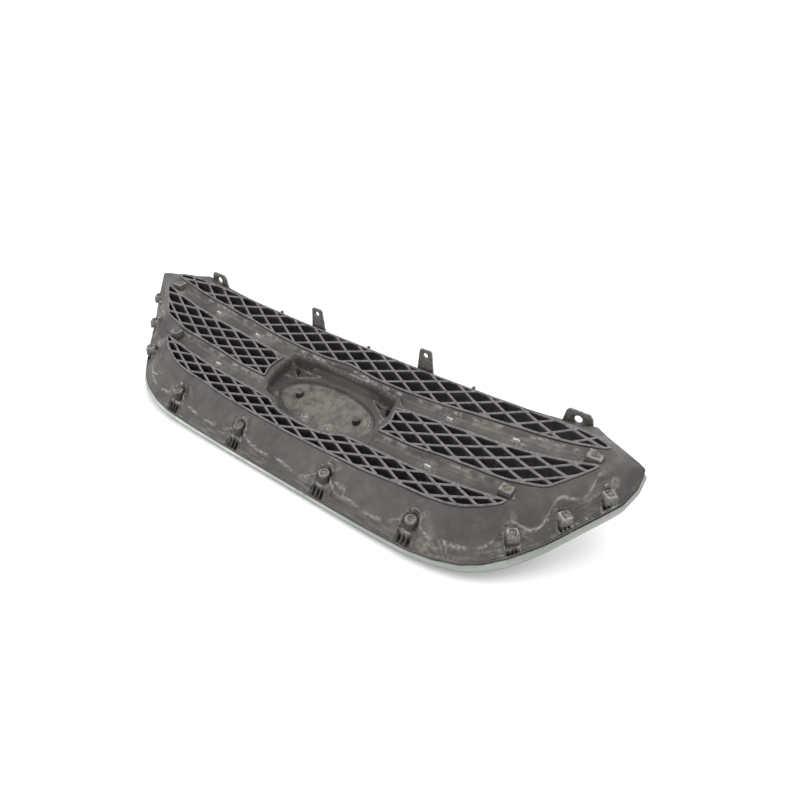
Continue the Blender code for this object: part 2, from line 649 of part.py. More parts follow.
def main():
    for old in list(bpy.data.objects):
        bpy.data.objects.remove(old, do_unlink=True)
    black = material("shell_plastic", (0.055, 0.050, 0.048), 0.55)
    grey = material("mesh_plastic", (0.110, 0.105, 0.105), 0.45)
    bright = material("surround_chrome", (0.62, 0.64, 0.62), 0.18, 1.0)
    satin = material("trim_chrome", (0.60, 0.62, 0.62), 0.22, 1.0)
    zinc = material("screw_steel", (0.30, 0.29, 0.28), 0.38, 1.0)

    made = [shell(black), surround(bright)]
    made.append(mesh_insert("mesh_upper", mirrored(UPPER_WINDOW), ROW_UPPER, NODE_UPPER, grey))
    made.append(mesh_insert("mesh_middle_right", MIDDLE_WINDOW, ROW_MIDDLE, NODE_MIDDLE, grey))
    made.append(mesh_insert("mesh_middle_left", flipped(MIDDLE_WINDOW), ROW_MIDDLE, NODE_MIDDLE, grey))
    made.append(mesh_insert("mesh_lower", mirrored(LOWER_WINDOW), ROW_LOWER, NODE_LOWER, grey))

    for side, place in (("right", lambda outline: outline), ("left", flipped)):
        hooks = place(HOOKS_UPPER)
        made.append(bar_trim(f"trim_upper_{side}", place(UPPER_TRIM), hooks, satin))
        made.append(bar_trim(f"trim_lower_{side}", place(LOWER_TRIM), place([HOOK_LOWER]), satin))

    back = PLATE_REAR - SHELL - BOW_GAP
    housing = [ellipse(0.092, 0.0350, back), ellipse(0.094, 0.0365, back - 0.6 * BADGE_DEPTH),
               ellipse(0.092, 0.0350, back - BADGE_DEPTH)]
    made.append(add("badge_housing", shaped(lofted(housing)), black))
    back -= BADGE_DEPTH + BADGE_FACE_GAP
    face = [ellipse(0.080, 0.0270, back), ellipse(0.080, 0.0270, back - 0.625 * BADGE_FACE_DEPTH),
            ellipse(0.074, 0.0225, back - BADGE_FACE_DEPTH)]
    made.append(add("badge_face", shaped(lofted(face)), satin))

    fixings = [("screw_badge", BADGE_SCREW), ("screw_upper_bar", UPPER_BAR_SCREW),
               ("screw_lower_bar", LOWER_BAR_SCREW)]
    fixings += [(f"screw_station_{i + 1}", station_top(place)) for i, place in enumerate(STATIONS)]
    for name, (x, y, top) in fixings:
        made.append(screw(f"{name}_right", (x, y, top), zinc))
        made.append(screw(f"{name}_left", (-x, y, top), zinc))

    bpy.context.view_layer.update()
    corners = [piece.matrix_world @ Vector(corner) for piece in made for corner in piece.bound_box]
    low = Vector([min(corner[i] for corner in corners) for i in range(3)])
    high = Vector([max(corner[i] for corner in corners) for i in range(3)])
    stand = bpy.data.objects.new("floor_point", None)
    bpy.context.collection.objects.link(stand)
    stand.location = (0, -(low.y + high.y) / 2, -low.z)
    for piece in list(bpy.data.objects):
        if piece is not stand:
            piece.parent = stand


main()
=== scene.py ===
import math

import bmesh
import bpy
import numpy as np
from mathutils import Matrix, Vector, geometry


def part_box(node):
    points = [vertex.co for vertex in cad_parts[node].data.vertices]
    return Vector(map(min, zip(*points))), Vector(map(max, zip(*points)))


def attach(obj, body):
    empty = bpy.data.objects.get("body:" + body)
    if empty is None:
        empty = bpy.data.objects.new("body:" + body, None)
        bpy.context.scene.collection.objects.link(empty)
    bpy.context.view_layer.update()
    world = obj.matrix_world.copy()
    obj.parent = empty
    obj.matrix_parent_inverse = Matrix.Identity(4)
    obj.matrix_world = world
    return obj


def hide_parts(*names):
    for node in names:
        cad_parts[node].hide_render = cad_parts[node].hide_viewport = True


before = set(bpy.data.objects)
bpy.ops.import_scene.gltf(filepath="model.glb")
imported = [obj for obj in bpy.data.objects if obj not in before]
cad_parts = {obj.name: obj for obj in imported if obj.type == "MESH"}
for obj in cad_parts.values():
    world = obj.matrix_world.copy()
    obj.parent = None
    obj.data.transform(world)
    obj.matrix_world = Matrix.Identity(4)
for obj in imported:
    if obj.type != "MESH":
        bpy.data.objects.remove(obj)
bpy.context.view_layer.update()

# ---- the grille's form, drawn flat: x, y and a depth w behind its own plane ----
HALF_WIDTH = 0.419
LEAN = 0.293
EAR_SWEEP = 0.05856
FIT = 0.0003
RIM = 0.0028
SHELL = 0.004
MESH_REAR, MESH_DEPTH = -0.0423, 0.018
BAR_REAR, PLATE_REAR, SHOULDER, LIP_DEPTH = -0.050, -0.071, -0.0445, -0.0665
CELL_WIDTH, RIB = 0.0437, 0.0031
ROWS = {"upper": (0.0104, 0.0843), "middle": (0.0088, 0.0265), "lower": (0.0081, -0.0500)}
SMALLEST_CELL = 7e-6
HEAD_HEIGHT = 0.0026
WORDS = {1: "right", -1: "left"}


def metres(points):
    """Points that are written in millimetres."""
    return [tuple(round(v / 1000, 6) for v in p) for p in points]


UPPER_WINDOW = metres([(0, 93), (190, 93), (245, 91), (295, 85.5), (325, 80.5), (346, 74.5), (362, 68),
    (373, 61.5), (379.5, 54), (371, 52.5), (330, 54.5), (270, 58), (205, 57), (150, 52.5), (95, 50),
    (50, 49.5), (24, 52), (0, 54.5)])
MIDDLE_WINDOW = metres([(104, 23.5), (122, 26.5), (150, 29), (210, 31.5), (320, 31.5), (372, 31.5),
    (377, 29), (375.5, 25.5), (364.5, 15.5), (350, 2.5), (339, -7.5), (332, -10.5), (290, -14.5),
    (245, -13.5), (205, -14), (160, -18), (108, -18), (104.5, -16.5), (109, -6), (109.5, 6), (106, 17)])
LOWER_WINDOW = metres([(0, -55.5), (34, -55), (50, -51), (68, -43.5), (100, -42), (190, -41),
    (245, -38.5), (302, -36), (305, -38.5), (300, -45), (284, -54), (263, -63), (242, -68), (215, -70),
    (185, -70.5), (130, -74.5), (60, -76.5), (0, -77.5)])
EDGE = metres([(0, 101, -54), (200, 101, -54), (262, 99.5, -54), (302, 98.5, -55), (350, 95.5, -56),
    (364, 86, -58), (380, 76.5, -60), (397, 66, -63), (411, 57, -66), (419, 51.5, -69),
    (418.5, 42, -82), (411, 26, -90), (384, -6.5, -88.5), (356, -42.5, -86.5), (328, -73, -82),
    (309, -90, -78), (286, -103, -74.5), (256, -112, -71.5), (222, -117, -69), (150, -118, -68),
    (0, -118, -68)])
SURROUND = metres([(0, 108, -75), (200, 108, -75), (262, 106.5, -75), (304, 104.5, -76),
    (353, 99.5, -77), (369, 90.5, -79), (385, 81, -81), (401, 71, -84), (415, 61, -87),
    (422.5, 53, -88), (422, 41, -98), (414, 24, -106), (387, -8.5, -104.5), (359, -44.5, -103),
    (331, -75.5, -99), (311, -92.5, -94), (288, -105.5, -89), (257, -114.5, -85), (222.5, -119.5, -82),
    (150, -120.5, -80.5), (0, -120.5, -80.5)])
LIP = metres([(0, 96.5), (200, 96.5), (262, 94.5), (300, 89.5), (333, 83), (352, 76), (366, 70),
    (377, 64), (383, 58), (384.5, 54), (384.5, 44), (384, 30), (377, 21.5), (357, 2), (340, -15.5),
    (316, -37), (292, -56), (268, -66.5), (220, -74.5), (150, -78.5), (0, -82)])
PLATE = metres([(0, 41), (60, 40.5), (94, 36), (98, 18), (100, 0), (97, -16), (88, -29), (60, -36),
    (46, -46), (0, -48.5)])
UPPER_BAR = metres([(0, 52.8), (24, 50.3), (50, 47.8), (95, 48.3), (150, 50.8), (205, 55.3),
    (270, 56.3), (330, 52.8), (354, 51), (356, 33.3), (320, 33.3), (210, 33.3), (150, 30.8),
    (122, 28.3), (108, 30), (100, 40), (60, 44), (0, 44.5)])
LOWER_BAR = metres([(103, -40), (190, -39.3), (245, -36.8), (302, -34.3), (308, -27), (306, -15),
    (290, -16.3), (245, -15.3), (205, -15.8), (160, -19.8), (103, -19.8)])
UPPER_TRIM = metres([(108, 47.5), (150, 50), (205, 54.5), (270, 55.5), (330, 52.5), (352, 50),
    (352, 37.5), (320, 34.5), (210, 34.5), (150, 32.5), (110, 30.5)])
LOWER_TRIM = metres([(114, -38.5), (190, -37.8), (245, -35.2), (303, -32.8), (312, -27), (308, -16.5),
    (290, -17.2), (245, -16.2), (205, -16.8), (162, -20.8), (114, -20.8)])
# clip stations: x, y, depth of the boss's top, and the way that its slots face
STATIONS = [(0.080, -0.097, -0.0475, (0.0, -1.0)), (0.214, -0.096, -0.0500, (0.0, -1.0)),
            (0.325, -0.060, -0.0590, (0.68, -0.73)), (0.365, -0.0185, -0.0670, (0.79, -0.61)),
            (0.3965, 0.0185, -0.0700, (0.77, -0.64))]
BADGE_SCREW = (0.054, 0.0, -0.0635)
UPPER_SCREW = (0.366, 0.0445, -0.0435)
LOWER_SCREW = (0.2965, -0.0255, -0.0400)
HOOKS = [(0.179, 0.0410), (0.272, 0.0440), (0.1935, -0.0312)]
PEG = (0.0855, 0.0300)
# the first four station frames, two stations on each side, have round bosses, and the others are square
BOSSES = 4
# a slot's distance beyond its boss, its depth, and the thickness of its walls and floor
SLOT_FAR, SLOT_DEPTH, SLOT_WALL, SLOT_FLOOR = 0.0145, 0.0075, 0.0006, 0.0008
# tabs: kind, x, hole, heights of the hole and of the top, half widths of the top and of the foot
TAB_SIZES = (("outer", 0.325, 0.0102, 0.0060, 0.0175, 0.0165, 0.0195),
             ("inner", 0.101, 0.0073, 0.0295, 0.0385, 0.0100, 0.0140))
LUG_PLACES, LUG_Y, TOP_EDGE = (-0.180, 0.0, 0.180), 0.0985, -0.054
# which numbers of a surround section change sign on the left
MIRROR_SIGNS = np.array([-1, 1, 1, -1, 1, 1, -1, 1])
ARM_OFFSETS = {7: -0.00034, 0: 0.0, 1: 0.00034}

# the drawing's origin in the row frame, from where the badge's right screw stands
low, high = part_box("screw_badge_right")
SHIFT_Y = (low[1] + high[1]) / 2
SHIFT_Z = high[2] - (BADGE_SCREW[2] + HEAD_HEIGHT + EAR_SWEEP * (BADGE_SCREW[0] / HALF_WIDTH) ** 4)


# ---- outlines ----
def mirrored(half):
    return list(half) + [(-p[0], *p[1:]) for p in reversed(half) if p[0] > 1e-6]


def flipped(outline):
    return [(-p[0], *p[1:]) for p in reversed(outline)]


def area(loop):
    return 0.5 * sum(a[0] * b[1] - b[0] * a[1] for a, b in zip(loop, loop[1:] + loop[:1]))


def turned_left(loop):
    return loop if area(loop) > 0 else loop[::-1]


def inset(loop, distance):
    """Moves each edge of a loop inward, and meets the moved edges at each corner."""
    moved = []
    for before, here, after in zip(loop[-1:] + loop[:-1], loop, loop[1:] + loop[:1]):
        one = (Vector(here[:2]) - Vector(before[:2])).normalized()
        two = (Vector(after[:2]) - Vector(here[:2])).normalized()
        bisector = Vector((-one.y - two.y, one.x + two.x)).normalized()
        reach = distance / max(0.5, bisector.dot(Vector((-one.y, one.x))))
        moved.append((here[0] + bisector.x * reach, here[1] + bisector.y * reach, *here[2:]))
    return moved


def softened(loop, reach, steps=4):
    """Rounds each corner of a loop, over at most reach to each side."""
    points = []
    for before, here, after in zip(loop[-1:] + loop[:-1], loop, loop[1:] + loop[:1]):
        before, here, after = np.array(before), np.array(here), np.array(after)
        back, on = np.linalg.norm(before - here), np.linalg.norm(after - here)
        start = here + (before - here) * min(reach, 0.45 * back) / back
        end = here + (after - here) * min(reach, 0.45 * on) / on
        for i in range(steps + 1):
            t = i / steps
            points.append(tuple(start * (1 - t) ** 2 + here * 2 * t * (1 - t) + end * t * t))
    return points


def divided(loop, step):
    points = []
    for start, end in zip(loop, loop[1:] + loop[:1]):
        count = max(1, math.ceil(math.dist(start[:2], end[:2]) / step))
        points += [tuple(a + (b - a) * i / count for a, b in zip(start, end)) for i in range(count)]
    return points


def without_doubles(loop, closest=0.0006):
    points = []
    for point in loop:
        if not points or math.dist(point, points[-1]) > closest:
            points.append(point)
    while len(points) > 2 and math.dist(points[0], points[-1]) <= closest:
        points.pop()
    return points


def clipped(loop, convex):
    """The part of a loop inside a convex loop that turns left."""
    points = list(loop)
    for a, b in zip(convex, convex[1:] + convex[:1]):
        sides = [(b[0] - a[0]) * (p[1] - a[1]) - (b[1] - a[1]) * (p[0] - a[0]) for p in points]
        kept = []
        for i, here in enumerate(points):
            j = (i + 1) % len(points)
            if sides[i] >= 0:
                kept.append(here)
            if (sides[i] >= 0) != (sides[j] >= 0):
                share = sides[i] / (sides[i] - sides[j])
                kept.append(tuple(p + (q - p) * share for p, q in zip(here, points[j])))
        points = kept
        if len(points) < 3:
            return []
    return points


def within(xy, loop):
    """Which points lie inside a loop."""
    x, y = xy[:, 0], xy[:, 1]
    hit = np.zeros(len(xy), bool)
    for a, b in zip(loop, loop[1:] + loop[:1]):
        if a[1] != b[1]:
            cross = ((a[1] > y) != (b[1] > y)) & (x < a[0] + (y - a[1]) / (b[1] - a[1]) * (b[0] - a[0]))
            hit ^= cross
    return hit


def away(xy, loops):
    """(distance, nearest point's depth) from points to the nearest edge of some loops."""
    best = np.full(len(xy), 9.0)
    depth = np.zeros(len(xy))
    for loop in loops:
        for a, b in zip(loop, loop[1:] + loop[:1]):
            start, run = np.array(a[:2]), np.array(b[:2]) - np.array(a[:2])
            t = np.clip((xy - start) @ run / max(run @ run, 1e-12), 0, 1)
            gap = np.hypot(*(xy - start - t[:, None] * run).T)
            nearer = gap < best
            best[nearer] = gap[nearer]
            if len(a) > 2:
                depth[nearer] = (a[2] + (b[2] - a[2]) * t)[nearer]
    return best, depth


def blended(xy, loop):
    """Depths of a loop's points, shared out to other points by how near they are."""
    total, weights = np.zeros(len(xy)), np.zeros(len(xy))
    for x, y, depth in loop:
        weight = ((xy[:, 0] - x) ** 2 + (xy[:, 1] - y) ** 2 + 1e-5) ** -2
        total += weight * depth
        weights += weight
    return total / weights


def smooth(value, low, high):
    t = np.clip((value - low) / (high - low), 0, 1)
    return t * t * (3 - 2 * t)


def bell(value, width):
    return np.exp(-(value / width) ** 2)


def inside_by(xy, loop):
    """(which points lie inside a loop, their distance from it, that distance where they are inside)."""
    hit, gap = within(xy, loop), away(xy, [loop])[0]
    return hit, gap, np.where(hit, gap, 0.0)


def circle(x, y, radius, count, start=0.0):
    turns = [start + 2 * math.pi * i / count for i in range(count)]
    return [(x + radius * math.cos(a), y + radius * math.sin(a)) for a in turns]


def at_height(loop, z):
    return [(p[0], p[1], z) for p in loop]


def waves(x, y, seed, size):
    """Smooth, repeatable variation between about -1 and 1, with features of about that size."""
    total = np.zeros_like(x)
    rng = np.random.default_rng(seed)
    for _ in range(7):
        turn, phase = rng.uniform(0, 2 * math.pi, 2)
        scale = 2 * math.pi / size * rng.uniform(0.6, 1.6)
        total += np.sin(scale * (x * math.cos(turn) + y * math.sin(turn)) + phase)
    return total / 3.5


def rise(x, y):
    return LEAN * y + EAR_SWEEP * (np.abs(x) / HALF_WIDTH) ** 4


# ---- mesh building ----
def filled(loops, extra=()):
    """Triangles between the first loop and the others: (points, faces)."""
    points, edges = [], []
    for loop in loops:
        first, count = len(points), len(loop)
        points += loop
        edges += [(first + i, first + (i + 1) % count) for i in range(count)]
    points += list(extra)
    flat = [Vector(p[:2]) for p in points]
    corners, _, faces, origins, _, _ = geometry.delaunay_2d_cdt(flat, edges, [], 0, 1e-7)
    index = [origin[0] for origin in origins]
    faces = np.array([[index[i] for i in face] for face in faces if len(face) == 3])
    xy = np.array([p[:2] for p in points])
    middle = xy[faces].mean(axis=1)
    keep = within(middle, loops[0])
    for loop in loops[1:]:
        keep &= ~within(middle, loop)
    return points, faces[keep]


class Solid:
    """Points and faces of a closed body, drawn flat, with two values at each point for its material: dust
    with painted light and shade, and wear with a painted highlight.
    """

    def __init__(self):
        self.points, self.faces, self.dust, self.wear_and_highlight = [], [], [], []

    def ring(self, points, dust=0.0, wear_and_highlight=0.0):
        first = len(self.points)
        self.points += [tuple(p[:3]) for p in points]
        self.dust += [dust] * len(points)
        self.wear_and_highlight += [wear_and_highlight] * len(points)
        return list(range(first, first + len(points)))

    def band(self, low, high):
        for i in range(len(low)):
            j = (i + 1) % len(low)
            self.faces.append((low[i], low[j], high[j], high[i]))

    def cap(self, ring):
        loop = [self.points[i] for i in ring]
        for face in filled([loop])[1]:
            self.faces.append(tuple(ring[i] for i in face))

    def stack(self, rings, ends=True):
        """Joins rings in turn, and closes both ends if asked."""
        for low_ring, high_ring in zip(rings, rings[1:]):
            self.band(low_ring, high_ring)
        if ends:
            self.faces += [tuple(rings[0]), tuple(rings[-1])]

    def made(self, name, look, body_slot, replaced, angle=35, shaped=True):
        mesh = bpy.data.meshes.new(name)
        co = np.array(self.points, float)
        if shaped:
            co[:, 2] += rise(co[:, 0], co[:, 1])
        co += (0, SHIFT_Y, SHIFT_Z)
        mesh.from_pydata(co.tolist(), [], self.faces)
        bm = bmesh.new()
        bm.from_mesh(mesh)
        shades = {key: bm.verts.layers.float.new(key) for key in ("dust", "wear_and_highlight")}
        bm.verts.ensure_lookup_table()
        for vertex, dust, wear_and_highlight in zip(bm.verts, self.dust, self.wear_and_highlight):
            vertex[shades["dust"]] = dust
            vertex[shades["wear_and_highlight"]] = wear_and_highlight
        bmesh.ops.remove_doubles(bm, verts=bm.verts, dist=2e-6)
        bmesh.ops.recalc_face_normals(bm, faces=bm.faces)
        bm.to_mesh(mesh)
        bm.free()
        mesh.shade_smooth()
        mesh.set_sharp_from_angle(angle=math.radians(angle))
        mesh.materials.append(look)
        obj = bpy.data.objects.new(name, mesh)
        bpy.context.scene.collection.objects.link(obj)
        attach(obj, "root")
        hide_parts(*replaced)
        return obj


# ---- materials ----
class Look:
    """A node material on a Principled shader."""

    def __init__(self, name, metallic=0.0, roughness=0.5):
        self.material = bpy.data.materials.new(name)
        self.material.use_nodes = True
        self.nodes, self.links = self.material.node_tree.nodes, self.material.node_tree.links
        self.shader = self.nodes["Principled BSDF"]
        self.shader.inputs["Metallic"].default_value = metallic
        self.shader.inputs["Roughness"].default_value = roughness
        self.where = self.nodes.new("ShaderNodeTexCoord").outputs["Object"]

    def put(self, socket, value):
        if isinstance(value, bpy.types.NodeSocket):
            self.links.new(value, socket)
        else:
            socket.default_value = value

    def noise(self, scale, detail=4.0, roughness=0.6, stretch=(1, 1, 1), turn=(0, 0, 0)):
        mapping = self.nodes.new("ShaderNodeMapping")
        mapping.inputs["Scale"].default_value = stretch
        mapping.inputs["Rotation"].default_value = turn
        self.put(mapping.inputs["Vector"], self.where)
        node = self.nodes.new("ShaderNodeTexNoise")
        node.inputs["Scale"].default_value = scale
        node.inputs["Detail"].default_value = detail
        node.inputs["Roughness"].default_value = roughness
        self.put(node.inputs["Vector"], mapping.outputs[0])
        return node.outputs[0]

    def shade(self, name):
        node = self.nodes.new("ShaderNodeAttribute")
        node.attribute_name = name
        return node.outputs["Fac"]

    def range(self, value, low, high, to_low=0.0, to_high=1.0):
        node = self.nodes.new("ShaderNodeMapRange")
        node.interpolation_type = "SMOOTHSTEP"
        for socket, number in zip(node.inputs[:5], (value, low, high, to_low, to_high)):
            self.put(socket, number)
        return node.outputs[0]

    def maths(self, operation, one, two):
        node = self.nodes.new("ShaderNodeMath")
        node.operation = operation
        node.use_clamp = operation != "SUBTRACT"
        self.put(node.inputs[0], one)
        self.put(node.inputs[1], two)
        return node.outputs[0]

    def mix(self, share, one, two):
        node = self.nodes.new("ShaderNodeMix")
        node.data_type = "RGBA"
        self.put(node.inputs[0], share)
        self.put(node.inputs[6], (*one, 1) if isinstance(one, tuple) else one)
        self.put(node.inputs[7], (*two, 1) if isinstance(two, tuple) else two)
        return node.outputs[2]

    def bump(self, height, strength, distance=0.0005, under=None):
        node = self.nodes.new("ShaderNodeBump")
        node.inputs["Strength"].default_value = strength
        node.inputs["Distance"].default_value = distance
        self.put(node.inputs["Height"], height)
        if under is not None:
            self.put(node.inputs["Normal"], under)
        return node.outputs[0]

    def surface(self, colour, roughness, normal):
        for name, value in (("Base Color", colour), ("Roughness", roughness), ("Normal", normal)):
            self.put(self.shader.inputs[name], value)
        return self.material

    def scratches(self, turn, scale=260.0, low=0.66, high=0.72):
        thin = self.noise(scale, 2.0, 0.5, (0.035, 1.0, 1.0), (0, 0, turn))
        patch = self.range(self.noise(22, 2.0), 0.52, 0.66)
        return self.maths("MULTIPLY", self.range(thin, low, high), patch)


def plastic(name, dark, light, dusty, worn_and_lit, rough=(0.42, 0.68), dust_all=0.12):
    look = Look(name)
    mottle = look.range(look.noise(14, 6.0, 0.62), 0.38, 0.66)
    colour = look.mix(mottle, dark, light)
    specks = look.range(look.noise(620, 3.0, 0.7), 0.63, 0.74)
    colour = look.mix(look.maths("MULTIPLY", specks, 0.5), colour, dusty)
    film = look.range(look.noise(42, 7.0, 0.68), 0.47, 0.72, 0.0, dust_all)
    # positive values of the dust attribute add dust; on the upper side of the bar troughs this is partly
    # painted light
    drift = look.maths("MULTIPLY", look.range(look.shade("dust"), 0.0, 1.0),
                       look.range(look.noise(75, 6.0, 0.7), 0.34, 0.6))
    dust = look.maths("ADD", film, drift)
    colour = look.mix(dust, colour, dusty)
    # painted shade: negative values of the dust attribute mix the colour towards near black
    painted_shade = look.range(look.shade("dust"), -1.0, 0.0, 0.92, 0.0)
    colour = look.mix(painted_shade, colour, (0.012, 0.011, 0.010))
    marks = look.maths("ADD", look.scratches(0.5), look.scratches(-0.9, 310.0, 0.68, 0.74))
    # on the mesh ribs the wear attribute is mostly a painted highlight on their tops, in the worn colour
    rubbed = look.maths("MULTIPLY", look.shade("wear_and_highlight"), look.range(look.noise(240, 5.0, 0.7), 0.36, 0.58))
    wear_and_highlight = look.maths("ADD", rubbed, look.maths("MULTIPLY", marks, 0.55))
    colour = look.mix(wear_and_highlight, colour, worn_and_lit)
    shine = look.range(look.noise(30, 5.0, 0.6), 0.35, 0.65, *rough)
    matt = look.maths("ADD", shine, look.maths("MULTIPLY", dust, 0.3))
    grain = look.bump(look.noise(1500, 2.0, 0.5), 0.16, 0.0002)
    uneven = look.bump(look.noise(95, 5.0, 0.6), 0.25, 0.0006, grain)
    return look.surface(colour, matt, look.bump(wear_and_highlight, 0.35, 0.0003, uneven))


def chrome(name, bright, dull, rough=(0.10, 0.30), film=(0.30, 0.29, 0.26)):
    look = Look(name, metallic=1.0)
    colour = look.mix(look.range(look.noise(9, 5.0), 0.35, 0.7), bright, dull)
    dirt = look.range(look.noise(55, 8.0, 0.72), 0.54, 0.74, 0.0, 0.55)
    colour = look.mix(dirt, colour, film)
    swirl = look.range(look.noise(180, 4.0, 0.7, (0.2, 1, 1)), 0.3, 0.75, *rough)
    matt = look.maths("ADD", swirl, look.maths("MULTIPLY", dirt, 0.4))
    return look.surface(colour, matt, look.bump(look.noise(900, 3.0), 0.05, 0.0002))


def steel(name):
    look = Look(name, metallic=1.0)
    mottle = look.range(look.noise(160, 6.0, 0.7), 0.4, 0.62)
    colour = look.mix(mottle, (0.13, 0.122, 0.108), (0.25, 0.235, 0.205))
    colour = look.mix(look.range(look.noise(420, 6.0, 0.7), 0.54, 0.66), colour, (0.16, 0.10, 0.06))
    matt = look.range(look.noise(300, 4.0), 0.3, 0.7, 0.35, 0.72)
    return look.surface(colour, matt, look.bump(look.noise(700, 4.0), 0.3, 0.0003))


def floor_look():
    look = Look("pale_floor", roughness=0.9)
    tint = look.mix(look.range(look.noise(0.8, 2.0), 0.3, 0.7), (0.90, 0.90, 0.90), (0.93, 0.93, 0.925))
    look.put(look.shader.inputs["Base Color"], tint)
    return look.material


SHELL_LOOK = plastic("shell_plastic_look", (0.044, 0.040, 0.0385), (0.074, 0.068, 0.065),
                     (0.19, 0.170, 0.146), (0.40, 0.385, 0.36))
# the mesh's worn colour is mostly a painted highlight for the rib tops
MESH_LOOK = plastic("mesh_plastic_look", (0.052, 0.048, 0.047), (0.080, 0.074, 0.073), (0.17, 0.155, 0.145),
                    (0.178, 0.163, 0.163), (0.40, 0.62), 0.14)
FRONT_LOOK = plastic("badge_plastic_look", (0.030, 0.029, 0.029), (0.045, 0.044, 0.043),
                     (0.16, 0.15, 0.13), (0.30, 0.30, 0.29), (0.20, 0.38), 0.05)
STRESS_LOOK = plastic("stressed_plastic_look", (0.27, 0.26, 0.24), (0.52, 0.505, 0.475),
                      (0.26, 0.23, 0.19), (0.70, 0.69, 0.66), (0.5, 0.8), 0.25)
CHROME_LOOK = chrome("surround_chrome_look", (0.375, 0.40, 0.375), (0.30, 0.325, 0.300), (0.32, 0.52))
TRIM_LOOK = chrome("trim_chrome_look", (0.66, 0.67, 0.67), (0.55, 0.56, 0.56))
STEEL_LOOK = steel("screw_steel_look")


# ---- mesh inserts ----
def cells(window, row, node):
    """Diamond openings of one window."""
    field = inset(turned_left([p[:2] for p in window]), FIT + RIM)
    xs, ys = zip(*field)
    slant = math.hypot(CELL_WIDTH / 2, row)
    across = CELL_WIDTH / 2 - RIB / 2 * slant / row
    along = row - RIB / 2 * slant / (CELL_WIDTH / 2)
    found = []
    for j in range(math.floor((min(ys) - node) / row) - 1, math.ceil((max(ys) - node) / row) + 2):
        shift = 0 if j % 2 else CELL_WIDTH / 2
        for i in range(math.floor(min(xs) / CELL_WIDTH) - 1, math.ceil(max(xs) / CELL_WIDTH) + 1):
            x, y = i * CELL_WIDTH + shift, node + j * row
            diamond = [(x + across, y), (x, y + along), (x - across, y), (x, y - along)]
            piece = without_doubles(clipped(field, diamond))
            if len(piece) > 2 and area(piece) > SMALLEST_CELL:
                found.append(turned_left(piece))
    return found


def mesh_insert(name, window, row, node):
    """A lattice whose ribs and rim have rounded backs and a small chamfer in front."""
    rim = divided(turned_left(softened([p[:2] for p in window], 0.004)), 0.012)
    rim = inset(without_doubles(rim, 0.0003), FIT)
    openings = [softened(cell, 0.0011, 2) for cell in cells(window, row, node)]
    openings = [without_doubles(divided(cell, 0.008), 0.0001) for cell in openings]
    solid = Solid()
    # each level: inset, drop, and how much painted highlight the rib tops get
    levels = [(0.00042, 0.0, 0.80), (0.00014, -0.00016, 0.60), (0.0, -0.00055, 0.15),
              (0.0, -0.0014, 0.0), (0.0, -MESH_DEPTH + 0.0006, 0.0), (0.0005, -MESH_DEPTH, 0.0)]
    loops = [(rim, 1.0)] + [(cell, -1.0) for cell in openings]
    firsts, lasts = [], []
    for loop, sense in loops:
        rings = []
        for move, drop, wear_and_highlight in levels:
            moved = inset(loop, sense * move)
            # painted shade darkens the rib walls below the top
            dust = 0.10 if drop > -0.0005 else -0.35 if drop > -0.001 else -0.85
            rings.append(solid.ring(at_height(moved, MESH_REAR + drop), dust, wear_and_highlight))
        solid.stack(rings, ends=False)
        firsts.append(rings[0])
        lasts.append(rings[-1])
    for rings in (firsts, lasts):
        index = [i for ring in rings for i in ring]
        faces = filled([[solid.points[i] for i in ring] for ring in rings])[1]
        solid.faces += [tuple(index[i] for i in face) for face in faces]
    return solid.made(name + "_fine", MESH_LOOK, "mesh_plastic", [name])


# ---- shell ----
FINE_EDGE = divided(softened(mirrored(EDGE), 0.003), 0.004)
WINDOWS = [turned_left(divided(softened(window, 0.004), 0.004)) for window in
           (mirrored(UPPER_WINDOW), MIDDLE_WINDOW, flipped(MIDDLE_WINDOW), mirrored(LOWER_WINDOW))]
TRIANGLES = [metres([(56, 37), (94, 33.5), (89, 17.5)]), metres([(-97, 34), (-76, 20), (-45, 37)])]
PLATE_RIM = inset(turned_left(mirrored(PLATE)), -0.0040)
BARS = [mirrored(UPPER_BAR), LOWER_BAR, flipped(LOWER_BAR)]
# each bar's lower and upper side, over x
BAR_SIDES = [(metres([(0, 44.5), (60, 44), (108, 30), (122, 28.3), (150, 30.8), (356, 33.3)]),
              metres([(0, 52.8), (50, 47.8), (150, 50.8), (270, 56.3), (354, 51)])),
             (metres([(103, -40), (190, -39.3), (302, -34.3), (308, -27)]),
              metres([(103, -19.8), (160, -19.8), (205, -15.8), (306, -15)]))]


def sided(places):
    return [(side, x * side, y, *rest) for x, y, *rest in places for side in (1, -1)]


def station_frames():
    """Each clip station as (x, y, top, outward, along), the last two of unit length."""
    frames = []
    for side, x, y, top, (ox, oy) in sided(STATIONS):
        length = math.hypot(ox, oy)
        out = np.array((side * ox, oy)) / length
        frames.append((x, y, top, out, np.array((-out[1], out[0]))))
    return frames


def slot_pits():
    """Three narrow slots beyond each station's boss, as loops."""
    pits = []
    for number, (x, y, _, out, along) in enumerate(station_frames()):
        half_wide, half_long, pitch, skew = 0.0020, 0.0049, 0.0062, out + along * 0.18
        far = SLOT_FAR
        if number >= BOSSES:
            half_wide, half_long, pitch, skew = 0.0014, 0.0020, 0.0044, out
            far = away(np.array([(x, y)]), [FINE_EDGE])[0][0] - 0.0014 - half_long
        for k in (-1, 0, 1):
            middle = np.array((x, y)) + out * far + along * k * pitch
            loop = [tuple(middle + along * a * half_wide + skew * b * half_long)
                    for a, b in ((-1, -1), (1, -1), (1, 1), (-1, 1))]
            pits.append(turned_left(divided(loop, 0.0022)))
    return pits


def local(xy, x, y, out, along):
    gap = xy - (x, y)
    return gap @ along, gap @ out


